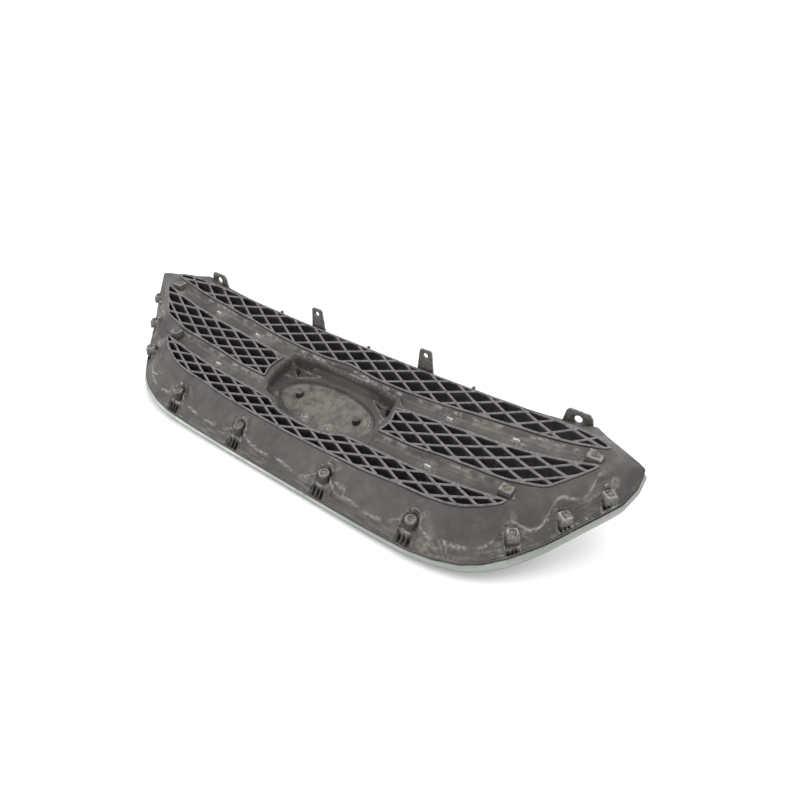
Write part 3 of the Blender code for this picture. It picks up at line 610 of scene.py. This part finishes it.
def shell_depth(xy, plain=False):
    """(depth, dust with painted light and shade, wear) of the shell's rear face."""
    x, y = xy[:, 0], xy[:, 1]
    to_window = away(xy, WINDOWS)[0]
    to_edge = away(xy, [FINE_EDGE])[0]
    edge_depth = blended(xy, FINE_EDGE)
    share = to_window / np.maximum(to_window + to_edge, 1e-6)
    depth = SHOULDER + (edge_depth - SHOULDER) * share
    dust, wear_and_highlight = np.zeros(len(xy)), np.zeros(len(xy))
    in_bar = np.zeros(len(xy))
    for bar in BARS:
        in_bar = np.maximum(in_bar, inside_by(xy, bar)[2])
    trough = smooth(in_bar, 0.0, 0.0045)
    depth += (BAR_REAR - 0.0010 - depth) * trough
    if not plain:
        depth += 0.0016 * smooth(in_bar, 0.004, 0.011)
        # across each bar's trough: painted light, in the dust colour, on the upper side, and painted shade
        # on the lower side
        for lower_side, upper_side in BAR_SIDES:
            low_y, high_y = (np.interp(np.abs(x), *zip(*side)) for side in (lower_side, upper_side))
            across = (y - low_y) / (high_y - low_y)
            lit = smooth(across, 0.60, 0.86) * (across < 1.1)
            shaded = smooth(across, 0.66, 0.40) * (across > -0.1)
            dust += trough * (0.60 * lit - 0.90 * shaded)
    rim_hit, _, in_plate = inside_by(xy, PLATE_RIM)
    floor = smooth(in_plate, 0.0, 0.0048)
    oval = np.hypot(x / 0.083, (y + 0.003) / 0.0335)
    plate = np.full(len(xy), PLATE_REAR)
    if not plain:
        plate = PLATE_REAR + 0.0042 * smooth(oval, 1.0, 1.05) + 0.0016 * bell(oval - 1.03, 0.020)
        plate = plate + 0.0003 * waves(x, y, 5, 0.06)
        dust = np.maximum(dust, 0.62 * smooth(oval, 1.02, 0.96))
        for triangle in TRIANGLES:
            _, gap, in_triangle = inside_by(xy, triangle)
            deep = smooth(in_triangle, 0.0, 0.0012)
            ridge = bell(gap, 0.0011)
            plate = plate - 0.0050 * deep + 0.0016 * ridge
            wear_and_highlight = np.maximum(wear_and_highlight, 0.50 * ridge * floor)
    depth += (plate - depth) * floor
    # painted shade darkens a band just inside the badge plate's rim
    dust -= 0.45 * smooth(in_plate, 0.0, 0.002) * smooth(in_plate, 0.012, 0.005)
    if plain:
        return depth, dust, wear_and_highlight
    wear_and_highlight = np.maximum(wear_and_highlight, 0.30 * bell(in_plate - 0.0002, 0.0012) * rim_hit)
    apron = smooth(to_edge, 0.060, 0.050) * (1 - trough) * (1 - floor)
    lower = smooth(y, 0.045, 0.020)
    # a stepped edge above the flange, scalloped round the stations
    line = 0.0125 + 0.0022 * waves(x, y * 0, 11, 0.09)
    for sx, sy, _, out, along in station_frames():
        a, b = local(xy, sx, sy, out, along)
        line = line + 0.013 * bell(a, 0.017) * (np.abs(b) < 0.05)
    near_flange = apron * lower
    step = smooth(to_edge - line, -0.0012, 0.0012)
    depth += near_flange * (-0.0022 * (1 - step) + 0.0010 * bell(to_edge - line, 0.0012))
    wear_and_highlight = np.maximum(wear_and_highlight, 0.75 * near_flange * bell(to_edge - line, 0.0009)
                      * smooth(waves(x, y, 21, 0.05), -0.9, 0.2))
    streaks = waves(x * 0.25, to_edge * 6, 23, 0.012)
    dust += (0.50 * near_flange * (1 - step) * smooth(waves(x, y, 3, 0.12), -0.8, 0.4)
             * smooth(streaks, -0.9, 0.5))
    dust -= 0.35 * near_flange * (1 - step) * smooth(streaks, 0.1, -0.7)
    lip = bell(to_edge - 0.0016, 0.0012)
    depth += 0.0009 * lip * lower
    wear_and_highlight = np.maximum(wear_and_highlight, 0.25 * lip * smooth(waves(x, y, 8, 0.04), -0.1, 0.7))
    depth += apron * (0.0006 * waves(x, y, 2, 0.08) + 0.00025 * waves(x, y, 4, 0.02))
    # collars round the bosses, with a ledge and a pocket beyond each
    for number, (sx, sy, _, out, along) in enumerate(station_frames()):
        a, b = local(xy, sx, sy, out, along)
        size = 1.0 if number < BOSSES else 0.72
        radius = np.hypot(a, b * 0.92) / size
        upper_half = smooth(-b, -0.005 * size, 0.001)
        ring = bell(radius - 0.0115, 0.0011) * upper_half
        inner = smooth(radius, 0.0115, 0.0095) * upper_half
        legs = bell(np.abs(a) / size - 0.0118, 0.0010) * smooth(b, -0.002, 0.001)
        legs = legs * smooth(b, 0.018 * size, 0.013 * size)
        pocket = smooth(np.abs(a), 0.0118 * size, 0.0100 * size)
        pocket = pocket * smooth(b, 0.0078 * size, 0.0092 * size) * smooth(b, 0.0225 * size, 0.0205 * size)
        ledge = bell(b / size - 0.0082, 0.0011) * smooth(np.abs(a), 0.0125 * size, 0.0105 * size)
        # painted shade darkens each pocket and the inside of the collar ring
        dust -= 0.75 * np.maximum(pocket, inner * smooth(radius, 0.0112, 0.0100))
        depth += 0.0046 * ring + 0.0032 * legs - 0.0026 * inner + 0.0026 * ledge - 0.0028 * pocket
        rubbed = np.maximum(np.maximum(ring, ledge), 0.8 * legs)
        patch = smooth(waves(x, y, 31 + number, 0.012), -0.6, 0.5)
        wear_and_highlight = np.maximum(wear_and_highlight, 0.95 * rubbed * patch)
        haze = bell(np.hypot(a, b) - 0.012, 0.009)
        wear_and_highlight = np.maximum(wear_and_highlight, 0.34 * haze * smooth(waves(x, y, 51 + number, 0.02), 0.0, 0.9))
    # an open box beside the station right of the middle
    box_x, box_y, wide, tall, drop = 0.1065, -0.1035, 0.0085, 0.0065, 0.0035
    a, b = np.abs(x - box_x), np.abs(y - box_y)
    inside = smooth(a, wide, wide - 0.0015) * smooth(b, tall, tall - 0.0015)
    border = bell(np.maximum(a - wide, b - tall), 0.0011) * (a < wide + 0.003) * (b < tall + 0.003)
    depth += -drop * inside + 0.0016 * border
    wear_and_highlight = np.maximum(wear_and_highlight, 0.7 * border * smooth(y - box_y, -0.003, 0.004))
    # the sagging, dusty patch beside the second station on the right
    blot = bell(np.hypot((x - 0.243) / 0.016, (y + 0.098) / 0.010), 1.0)
    dust += 0.6 * blot
    depth -= 0.0008 * blot
    # stakes melted over on the badge plate
    for mx, my, mr in ((0.0213, -0.0277, 0.0085), (0.0688, 0.0060, 0.0080), (0.0880, 0.0125, 0.0052),
                       (-0.0870, -0.0190, 0.0060), (-0.0213, -0.0277, 0.0070)):
        gap = np.hypot(x - mx, y - my)
        lump = np.exp(-(gap / (0.62 * mr)) ** 4)
        rough = 0.6 + 0.4 * waves(x, y, 71, 0.004)
        depth += 0.0032 * lump * rough
        wear_and_highlight = np.maximum(wear_and_highlight, 0.85 * bell(gap - 0.5 * mr, 0.35 * mr)
                          * smooth(waves(x, y, 72, 0.005), -0.5, 0.6))
        dust += 0.3 * bell(gap, mr)
    # stress marks where the hooks bear on the bars
    for _, hx, hy in sided(HOOKS):
        gap = np.hypot((x - hx) / 0.011, (y - hy) / 0.006)
        wear_and_highlight = np.maximum(wear_and_highlight, 0.8 * bell(gap, 1.0) * smooth(waves(x, y, 61, 0.005), -0.4, 0.5))
    # long scrape marks and a crack line across the upper bar
    along_bar = bell(in_bar - 0.0012, 0.0010) * (in_bar > 0)
    wear_and_highlight = np.maximum(wear_and_highlight, 0.75 * along_bar * smooth(waves(x, y, 91, 0.025), -0.3, 0.5))
    dust += 0.34 * trough * smooth(waves(x, y, 93, 0.07), -0.2, 0.8)
    dust += 0.14 * apron * smooth(waves(x, y, 97, 0.10), 0.1, 0.9)
    return depth, np.clip(dust, -0.95, 0.95), wear_and_highlight


def scattered(loop_set, step, zones):
    """Points on a staggered grid inside the shell, finer inside each zone."""
    rows = []
    for level, (spacing, boxes) in enumerate([(step, [(-0.42, 0.42, -0.119, 0.102)]), *zones]):
        for x0, x1, y0, y1 in boxes:
            nx, ny = int((x1 - x0) / spacing) + 1, int((y1 - y0) / (spacing * 0.866)) + 1
            gx, gy = np.meshgrid(np.arange(nx), np.arange(ny))
            px = x0 + (gx + 0.5 * (gy % 2)) * spacing
            py = y0 + gy * spacing * 0.866
            rows.append((level, np.stack([px.ravel(), py.ravel()], axis=1)))
    kept = []
    for level, xy in rows:
        for finer, (_, boxes) in enumerate(zones, 1):
            if finer <= level:
                continue
            for x0, x1, y0, y1 in boxes:
                out = (xy[:, 0] < x0) | (xy[:, 0] > x1) | (xy[:, 1] < y0) | (xy[:, 1] > y1)
                xy = xy[out]
        ok = within(xy, loop_set[0])
        for loop in loop_set[1:]:
            ok &= ~within(xy, loop)
        xy = xy[ok]
        gap = away(xy, loop_set)[0]
        kept.append(xy[gap > 0.45 * (step if level == 0 else zones[level - 1][0])])
    return np.concatenate(kept)


def shell_skin():
    """The moulded shell: one closed body with its windows, troughs, badge plate, collars and slots."""
    pits = slot_pits()
    solid = Solid()
    fine = 0.0019
    boxes = [(x - 0.021, x + 0.021, y - 0.024, y + 0.018) for _, x, y, *_ in sided(STATIONS)]
    zones = [(fine * 0.74, [(-0.103, 0.103, -0.050, 0.043)]), (fine * 0.50, boxes)]
    loops = [FINE_EDGE, *WINDOWS, *pits]
    loops = [[p[:2] for p in loop] for loop in loops]
    extra = scattered(loops, fine, zones)
    points, faces = filled(loops, [tuple(p) for p in extra])
    xy = np.array([p[:2] for p in points])
    depth, dust, wear_and_highlight = shell_depth(xy)
    counts = [len(loop) for loop in loops]
    starts = np.cumsum([0, *counts])
    depth[:counts[0]] = away(xy[:counts[0]], [FINE_EDGE])[1]
    top = solid.ring(np.column_stack([xy, depth]).tolist())
    solid.dust, solid.wear_and_highlight = dust.tolist(), wear_and_highlight.tolist()
    solid.faces += [tuple(face) for face in faces]
    open_loops = 1 + len(WINDOWS)
    under_loops = loops[:open_loops] + [inset(loop, -SLOT_WALL) for loop in loops[open_loops:]]
    coarse = scattered(under_loops, 0.009, [])
    under_points, under_faces = filled(under_loops, [tuple(p) for p in coarse])
    under_xy = np.array([p[:2] for p in under_points])
    under_depth = shell_depth(under_xy, plain=True)[0] - SHELL
    under_depth[:starts[open_loops]] = depth[:starts[open_loops]] - SHELL
    under = solid.ring(np.column_stack([under_xy, under_depth]).tolist(), 0.2, 0.0)
    solid.faces += [tuple(under[i] for i in face[::-1]) for face in under_faces]
    for number, loop in enumerate(loops):
        ring = top[starts[number]:starts[number + 1]]
        below = under[starts[number]:starts[number + 1]]
        if number < open_loops:
            solid.band(ring, below)
            continue
        bottom = min(solid.points[i][2] for i in ring) - SLOT_DEPTH
        inner = solid.ring(at_height(loop, bottom), 0.1)
        outer = solid.ring(at_height(under_loops[number], bottom - SLOT_FLOOR), 0.1)
        solid.band(ring, inner)
        solid.cap(inner)
        solid.band(below, outer)
        solid.cap(outer)
    return solid.made("shell_skin", SHELL_LOOK, "shell_plastic", ["body_shell"], angle=42)


# ---- small solids of the shell ----
def turned(solid, rings, x, y, base, count=28, wear_and_highlight=()):
    """Adds a solid of revolution through (radius, height) points, closed at both ends."""
    made = []
    for number, (radius, height) in enumerate(rings):
        loop = at_height(circle(x, y, radius, count), base + height)
        rub = wear_and_highlight[number] if wear_and_highlight else 0.0
        # rings with little wear are darkened with painted shade
        made.append(solid.ring(loop, 0.2 if rub > 0.3 else -0.65, rub * 0.7))
    solid.stack(made)


def prism(solid, loop, levels, wear_and_highlight=()):
    """Adds a closed solid whose outline is inset by an amount at each height, in place already."""
    made = []
    for number, (move, height) in enumerate(levels):
        points = inset(loop, move) if move else loop
        rub = wear_and_highlight[number] if wear_and_highlight else 0.0
        # rings with little wear are darkened with painted shade
        made.append(solid.ring(at_height(points, height), 0.2 if rub > 0.3 else -0.45, rub))
    solid.stack(made)


def rounded_box(x, y, half_x, half_y, out=(0.0, -1.0), round_by=0.0014):
    out = np.array(out)
    along = np.array((-out[1], out[0]))
    corners = [tuple(np.array((x, y)) + along * a * half_x + out * b * half_y)
               for a, b in ((-1, -1), (1, -1), (1, 1), (-1, 1))]
    return softened(turned_left(corners), round_by, 3)


def fixings():
    """Bosses, platforms and pegs that stand on the shell, each a closed body sunk into it."""
    solid = Solid()
    for number, (x, y, top, out, _) in enumerate(station_frames()):
        base = rise(x, y)
        if number < BOSSES:
            rings = [(0.0079, top - 0.012), (0.0074, top - 0.004), (0.0070, top - 0.0008), (0.0064, top),
                     (0.0030, top), (0.0026, top - 0.0006), (0.0026, top - 0.004)]
            turned(solid, rings, x, y, base, 32, (0, 0, 0.5, 0.7, 0.6, 0.2, 0))
        else:
            loop = rounded_box(x, y, 0.0066, 0.0062, out)
            hole = rounded_box(x, y, 0.0033, 0.0033, out, 0.0008)
            rings = [at_height(inset(loop, move), base + z)
                     for move, z in ((-0.0012, top - 0.011), (0, top - 0.0008), (0.0007, top))]
            rings += [at_height(inset(hole, move), base + z)
                      for move, z in ((-0.0004, top), (0, top - 0.0005), (0, top - 0.004))]
            # rings with little wear are darkened with painted shade
            solid.stack([solid.ring(ring, 0.3 if wear_and_highlight > 0.3 else -0.6, wear_and_highlight)
                         for ring, wear_and_highlight in zip(rings, (0, 0.4, 0.8, 0.7, 0.3, 0))])
    for _, x, y, top in sided([BADGE_SCREW]):
        rings = [(0.0066, top - 0.0115), (0.0058, top - 0.002), (0.0055, top - 0.0006), (0.0050, top),
                 (0.0022, top)]
        turned(solid, rings, x, y, rise(x, y), 32, (0, 0, 0.5, 0.7, 0.5))
    for _, x, y in sided([PEG]):
        rings = [(0.0031, -0.0740), (0.0027, -0.0625), (0.0022, -0.0610), (0.0010, -0.0605)]
        turned(solid, rings, x, y, rise(x, y), 20)
    for place, half_x, half_y in ((UPPER_SCREW, 0.0090, 0.0080), (LOWER_SCREW, 0.0080, 0.0070)):
        for _, x, y, top in sided([place]):
            loop, base = rounded_box(x, y, half_x, half_y), rise(x, y)
            levels = [(-0.0008, base + top - 0.010), (0.0, base + top - 0.0010),
                      (0.0004, base + top - 0.0003), (0.0012, base + top)]
            prism(solid, loop, levels, (0, 0.1, 0.5, 0.45))
            turned(solid, [(0.0062, top - 0.001), (0.0060, top + 0.0002), (0.0055, top + 0.0002)],
                   x, y, base, 28, (0.2, 0.7, 0.4))
    return solid.made("shell_fixings", SHELL_LOOK, "shell_plastic", ["body_shell"], shaped=False)


def tab(name, x, y, hole, hole_z, edge_left, edge_right, top, top_half, foot_half, wall=0.003):
    """An upright tab with a round hole and softened edges."""
    crop = 0.24 * top_half
    outline = [(-foot_half, edge_left), (foot_half, edge_right), (top_half, top - crop),
               (top_half - crop, top), (crop - top_half, top), (-top_half, top - crop)]
    outline = turned_left(divided(softened(outline, 0.0013, 3), 0.006))
    outline = without_doubles([p[:2] for p in outline], 0.0002)
    ring = circle(0, hole_z, hole / 2, 28)
    solid = Solid()
    sheets = []
    for loop, sense in ((outline, 1), (ring, -1)):
        rings = []
        for move, at, wear_and_highlight in ((0.0004, -wall / 2, 0.15), (0.0, -wall / 2 + 0.0004, 0.6),
                               (0.0, wall / 2 - 0.0004, 0.6), (0.0004, wall / 2, 0.15)):
            moved = inset(loop, move * sense)
            rings.append(solid.ring([(x + a, y + at, b) for a, b in moved], 0.2, wear_and_highlight))
        solid.stack(rings, ends=False)
        sheets.append(rings)
    for end in (0, -1):
        index = [i for rings in sheets for i in rings[end]]
        loops = [[(solid.points[i][0], solid.points[i][2]) for i in rings[end]] for rings in sheets]
        solid.faces += [tuple(index[i] for i in face) for face in filled(loops)[1]]
    return solid.made(name, SHELL_LOOK, "shell_plastic", ["body_shell"], shaped=False, angle=50)


def edge_depth_at(x):
    for (x0, y0, d0), (x1, y1, d1) in zip(EDGE, EDGE[1:]):
        if x0 <= abs(x) < x1:
            share = (abs(x) - x0) / (x1 - x0)
            return y0 + (y1 - y0) * share, d0 + (d1 - d0) * share


def tabs():
    for side, word in WORDS.items():
        for kind, x, hole, hole_rise, top_rise, top_half, foot_half in TAB_SIZES:
            y = max(edge_depth_at(x - foot_half)[0], edge_depth_at(x)[0]) - 0.0010
            edge_z = edge_depth_at(x)[1] + float(rise(x, y))
            feet = [edge_depth_at(x + a)[1] + float(rise(x + a, y)) - 0.002 for a in (-foot_half, foot_half)]
            if side < 0:
                feet.reverse()
            tab(f"tab_{kind}_{word}_fine", side * x, y, hole, edge_z + hole_rise, *feet,
                edge_z + top_rise, top_half, foot_half)


def lugs():
    """Small locating lugs along the top edge."""
    solid = Solid()
    for x in LUG_PLACES:
        base = TOP_EDGE + float(rise(x, LUG_Y))
        loop = rounded_box(x, LUG_Y, 0.0020, 0.0020, round_by=0.0007)
        prism(solid, loop, [(0, base - 0.001), (0, base + 0.0082), (0.0006, base + 0.0090)], (0, 0.2, 0.3))
    return solid.made("top_lugs", SHELL_LOOK, "shell_plastic", ["body_shell"], shaped=False)


# ---- front pieces ----
def surround():
    """The bright surround: a hollow nose that runs all round, with softened section and corners."""
    low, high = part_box("chrome_surround")
    half = [np.array([*e, *s, *l]) for e, s, l in zip(EDGE, SURROUND, LIP)]
    loop = [tuple(p) for p in half] + [tuple(p * MIRROR_SIGNS) for p in reversed(half[1:-1])]
    loop = divided(softened(loop, 0.004, 4), 0.006)
    solid = Solid()
    rings = []
    for p in loop:
        (ex, ey, edge), (x, y, depth), lip = p[:3], p[3:6], p[6:8]
        inward = Vector((lip[0] - x, lip[1] - y))
        width = inward.length
        inward.normalize()
        crest = (depth + LIP_DEPTH) / 2 - 0.006

        def at(distance, z, start=(x, y)):
            return (start[0] + inward.x * distance, start[1] + inward.y * distance, z)

        under = edge - SHELL - 0.0015
        section = [at(-0.0005, under, (ex, ey)), at(-0.0003, (under * 2 + depth + 0.006) / 3, (ex, ey)),
                   at(0, depth + 0.006), at(0.0002, depth + 0.0025), at(0.0012, depth),
                   at(0.08 * width, depth - 0.0024), at(0.22 * width, depth - 0.0035),
                   at(0.38 * width, (depth - 0.0035) * 0.55 + crest * 0.45),
                   at(0.55 * width, crest), at(0.78 * width, (crest + LIP_DEPTH) / 2),
                   at(width - 0.0006, LIP_DEPTH), at(width, LIP_DEPTH + 0.0008),
                   at(width - 0.002, LIP_DEPTH + 0.0025), at(0.60 * width, crest + 0.0050),
                   at(0.33 * width, depth + 0.001), at(0.0032, depth + 0.006), at(0.0020, under, (ex, ey))]
        rings.append(solid.ring(section, 0.3))
    for one, two in zip(rings, rings[1:] + rings[:1]):
        solid.band(one, two)
    points = np.array(solid.points)
    points[:, 0] = np.clip(points[:, 0], low[0], high[0])
    points[:, 1] = np.clip(points[:, 1], low[1] - SHIFT_Y, high[1] - SHIFT_Y)
    points[:, 2] = np.maximum(points[:, 2], low[2] + 1e-5 - SHIFT_Z - rise(points[:, 0], points[:, 1]))
    solid.points = [tuple(p) for p in points]
    return solid.made("surround_fine", CHROME_LOOK, "surround_chrome", ["chrome_surround"], angle=50)


def domed(name, levels, look, slot_name, replaced, angle=35):
    """A closed body through levels of (outline, depth)."""
    solid = Solid()
    rings = [solid.ring(at_height(outline, depth), 0.1, 0.0) for outline, depth in levels]
    solid.stack(rings, ends=False)
    solid.cap(rings[0])
    solid.cap(rings[-1])
    return solid.made(name, look, slot_name, replaced, angle)


def bar_trims():
    back = BAR_REAR - SHELL - 0.001
    levels = [(0.0004, back), (0.0, back - 0.0004), (0.0, back - 0.0058), (0.0005, back - 0.0082),
              (0.0014, back - 0.0100), (0.0023, back - 0.0113), (0.0032, back - 0.0120)]
    for kind, outline in (("upper", UPPER_TRIM), ("lower", LOWER_TRIM)):
        for side, word in WORDS.items():
            loop = outline if side > 0 else flipped(outline)
            loop = turned_left(divided(loop, 0.022))
            node = f"trim_{kind}_{word}"
            shapes = [(softened(inset(loop, move), 0.0035, 3), depth) for move, depth in levels]
            domed(node + "_fine", shapes, TRIM_LOOK, "trim_chrome", [node])


def hooks():
    """Snap hooks whose noses grip the bars, whitened where they have been bent."""
    for number, (side, x, y) in enumerate(sided(HOOKS)):
        base = float(rise(x, y))
        solid = Solid()
        kind = "upper" if y > 0 else "lower"
        section = [(-0.0014, -0.0560), (0.0014, -0.0560), (0.0014, -0.0480), (0.0023, -0.0478),
                   (0.0026, -0.0472), (0.0018, -0.0450), (0.0008, -0.0440), (-0.0006, -0.0440),
                   (-0.0014, -0.0447)]
        rings = []
        rng = np.random.default_rng(400 + number)
        cx = sum(p[0] for p in section) / len(section)
        cz = sum(p[1] for p in section) / len(section)
        for a, pull in ((-0.0042, 0.06), (-0.0038, 0.0), (-0.0019, 0.0), (0.0002, 0.0), (0.0021, 0.0),
                        (0.0038, 0.0), (0.0042, 0.06)):
            short, bent = rng.uniform(0.0, 0.0012), rng.uniform(-0.0003, 0.0003)
            ring = [(x + a, y + cx + (b - cx) * (1 - pull) + bent * (c > -0.047),
                     base + cz + (c - cz) * (1 - pull) - short * (c > -0.046)) for b, c in section]
            rings.append(solid.ring(ring, 0.6, 0.5))
        solid.stack(rings)
        node = f"trim_{kind}_{WORDS[side]}"
        solid.made(f"hook_{number}", STRESS_LOOK, "trim_chrome", [node], shaped=False)


def oval(half_x, half_y, count=96):
    return [(half_x * math.cos(2 * math.pi * i / count), half_y * math.sin(2 * math.pi * i / count))
            for i in range(count)]


def badge():
    back = PLATE_REAR - SHELL - 0.001
    levels = [(0.0022, back), (0.0016, back - 0.0006), (0.0, back - 0.0052), (0.0, back - 0.0066),
              (0.0007, back - 0.0088), (0.0022, back - 0.0100)]
    shapes = [(oval(0.094 - move, 0.0365 - move), depth) for move, depth in levels]
    domed("badge_housing_fine", shapes, FRONT_LOOK, "shell_plastic", ["badge_housing"])
    back -= 0.0105
    levels = [(0.0003, back), (0.0, back - 0.0003), (0.0, back - 0.0019), (0.0012, back - 0.0029),
              (0.0045, back - 0.0036), (0.0085, back - 0.0039), (0.0160, back - 0.0040)]
    shapes = [(oval(0.080 - move, 0.0270 - move), depth) for move, depth in levels]
    domed("badge_face_fine", shapes, TRIM_LOOK, "trim_chrome", ["badge_face"])


def screws():
    """Pan-head screws with a washer flange and a cross recess."""
    places = [("screw_badge", BADGE_SCREW), ("screw_upper_bar", UPPER_SCREW),
              ("screw_lower_bar", LOWER_SCREW)]
    places += [(f"screw_station_{i + 1}", place[:3]) for i, place in enumerate(STATIONS)]
    for number, (name, place) in enumerate(places):
        for side, x, y, top in sided([place]):
            base = top + float(rise(x, y)) + FIT
            solid = Solid()
            count = 32
            start = 0.4 + 1.3 * number + 0.7 * side
            rings = []
            for radius, height in ((0.0014, -0.0072), (0.0019, -0.0060), (0.0019, 0.0), (0.0043, 0.0),
                                   (0.0043, 0.0007), (0.0040, 0.0010), (0.0031, 0.0011), (0.0030, 0.0014),
                                   (0.0028, 0.0020), (0.0022, 0.00235)):
                rings.append(solid.ring(at_height(circle(x, y, radius, count, start), base + height)))
            cross = circle(x, y, 0.00062, count, start)
            for i in range(count):
                if i % 8 in ARM_OFFSETS:
                    off = ARM_OFFSETS[i % 8]
                    turn = start + 2 * math.pi * round(i / 8) / 4
                    cross[i] = (x + 0.0016 * math.cos(turn) - off * math.sin(turn),
                                y + 0.0016 * math.sin(turn) + off * math.cos(turn))
            floor = [(x + (p[0] - x) * 0.6, y + (p[1] - y) * 0.6) for p in cross]
            rings.append(solid.ring(at_height(cross, base + 0.0023)))
            rings.append(solid.ring(at_height(floor, base + 0.0012)))
            solid.stack(rings)
            node = f"{name}_{WORDS[side]}"
            solid.made(node + "_fine", STEEL_LOOK, "screw_steel", [node], shaped=False, angle=40)


# ---- the stage ----
LIGHTS = (("overhead", (0.3, 0.5, 2.2), 2.0, 18), ("side", (-1.6, -0.9, 1.3), 1.4, 7),
          ("back", (1.2, 1.7, 1.4), 1.2, 12))


def stage():
    mesh = bpy.data.meshes.new("floor")
    mesh.from_pydata([(-60, -60, 0), (60, -60, 0), (60, 60, 0), (-60, 60, 0)], [], [(0, 1, 2, 3)])
    mesh.materials.append(floor_look())
    floor = bpy.data.objects.new("floor", mesh)
    bpy.context.scene.collection.objects.link(floor)
    floor.location.z = -0.0002
    world = bpy.data.worlds.new("studio")
    bpy.context.scene.world = world
    world.use_nodes = True
    world.node_tree.nodes["Background"].inputs["Color"].default_value = (1.0, 1.0, 1.0, 1)
    world.node_tree.nodes["Background"].inputs["Strength"].default_value = 1.12
    for name, place, size, power in LIGHTS:
        light = bpy.data.lights.new(name, "AREA")
        light.shape = "DISK"
        light.size = size
        light.energy = power
        lamp = bpy.data.objects.new(name, light)
        lamp.location = place
        lamp.rotation_euler = (Vector((0, 0, 0.05)) - Vector(place)).to_track_quat("-Z", "Y").to_euler()
        bpy.context.scene.collection.objects.link(lamp)
    camera = bpy.data.objects.new("camera", bpy.data.cameras.new("camera"))
    camera.data.lens = 26.1
    camera.data.sensor_width = 36
    camera.location = (0.4701, SHIFT_Y - 0.46935, SHIFT_Z + 0.441575)
    camera.rotation_euler = (math.radians(52.8), 0, math.radians(36))
    bpy.context.scene.collection.objects.link(camera)
    bpy.context.scene.camera = camera
    bpy.context.scene.view_settings.view_transform = "Standard"


shell_skin()
fixings()
tabs()
lugs()
for node, window, kind in (("mesh_upper", mirrored(UPPER_WINDOW), "upper"),
                           ("mesh_middle_right", MIDDLE_WINDOW, "middle"),
                           ("mesh_middle_left", flipped(MIDDLE_WINDOW), "middle"),
                           ("mesh_lower", mirrored(LOWER_WINDOW), "lower")):
    mesh_insert(node, window, *ROWS[kind])
surround()
bar_trims()
hooks()
badge()
screws()
stage()
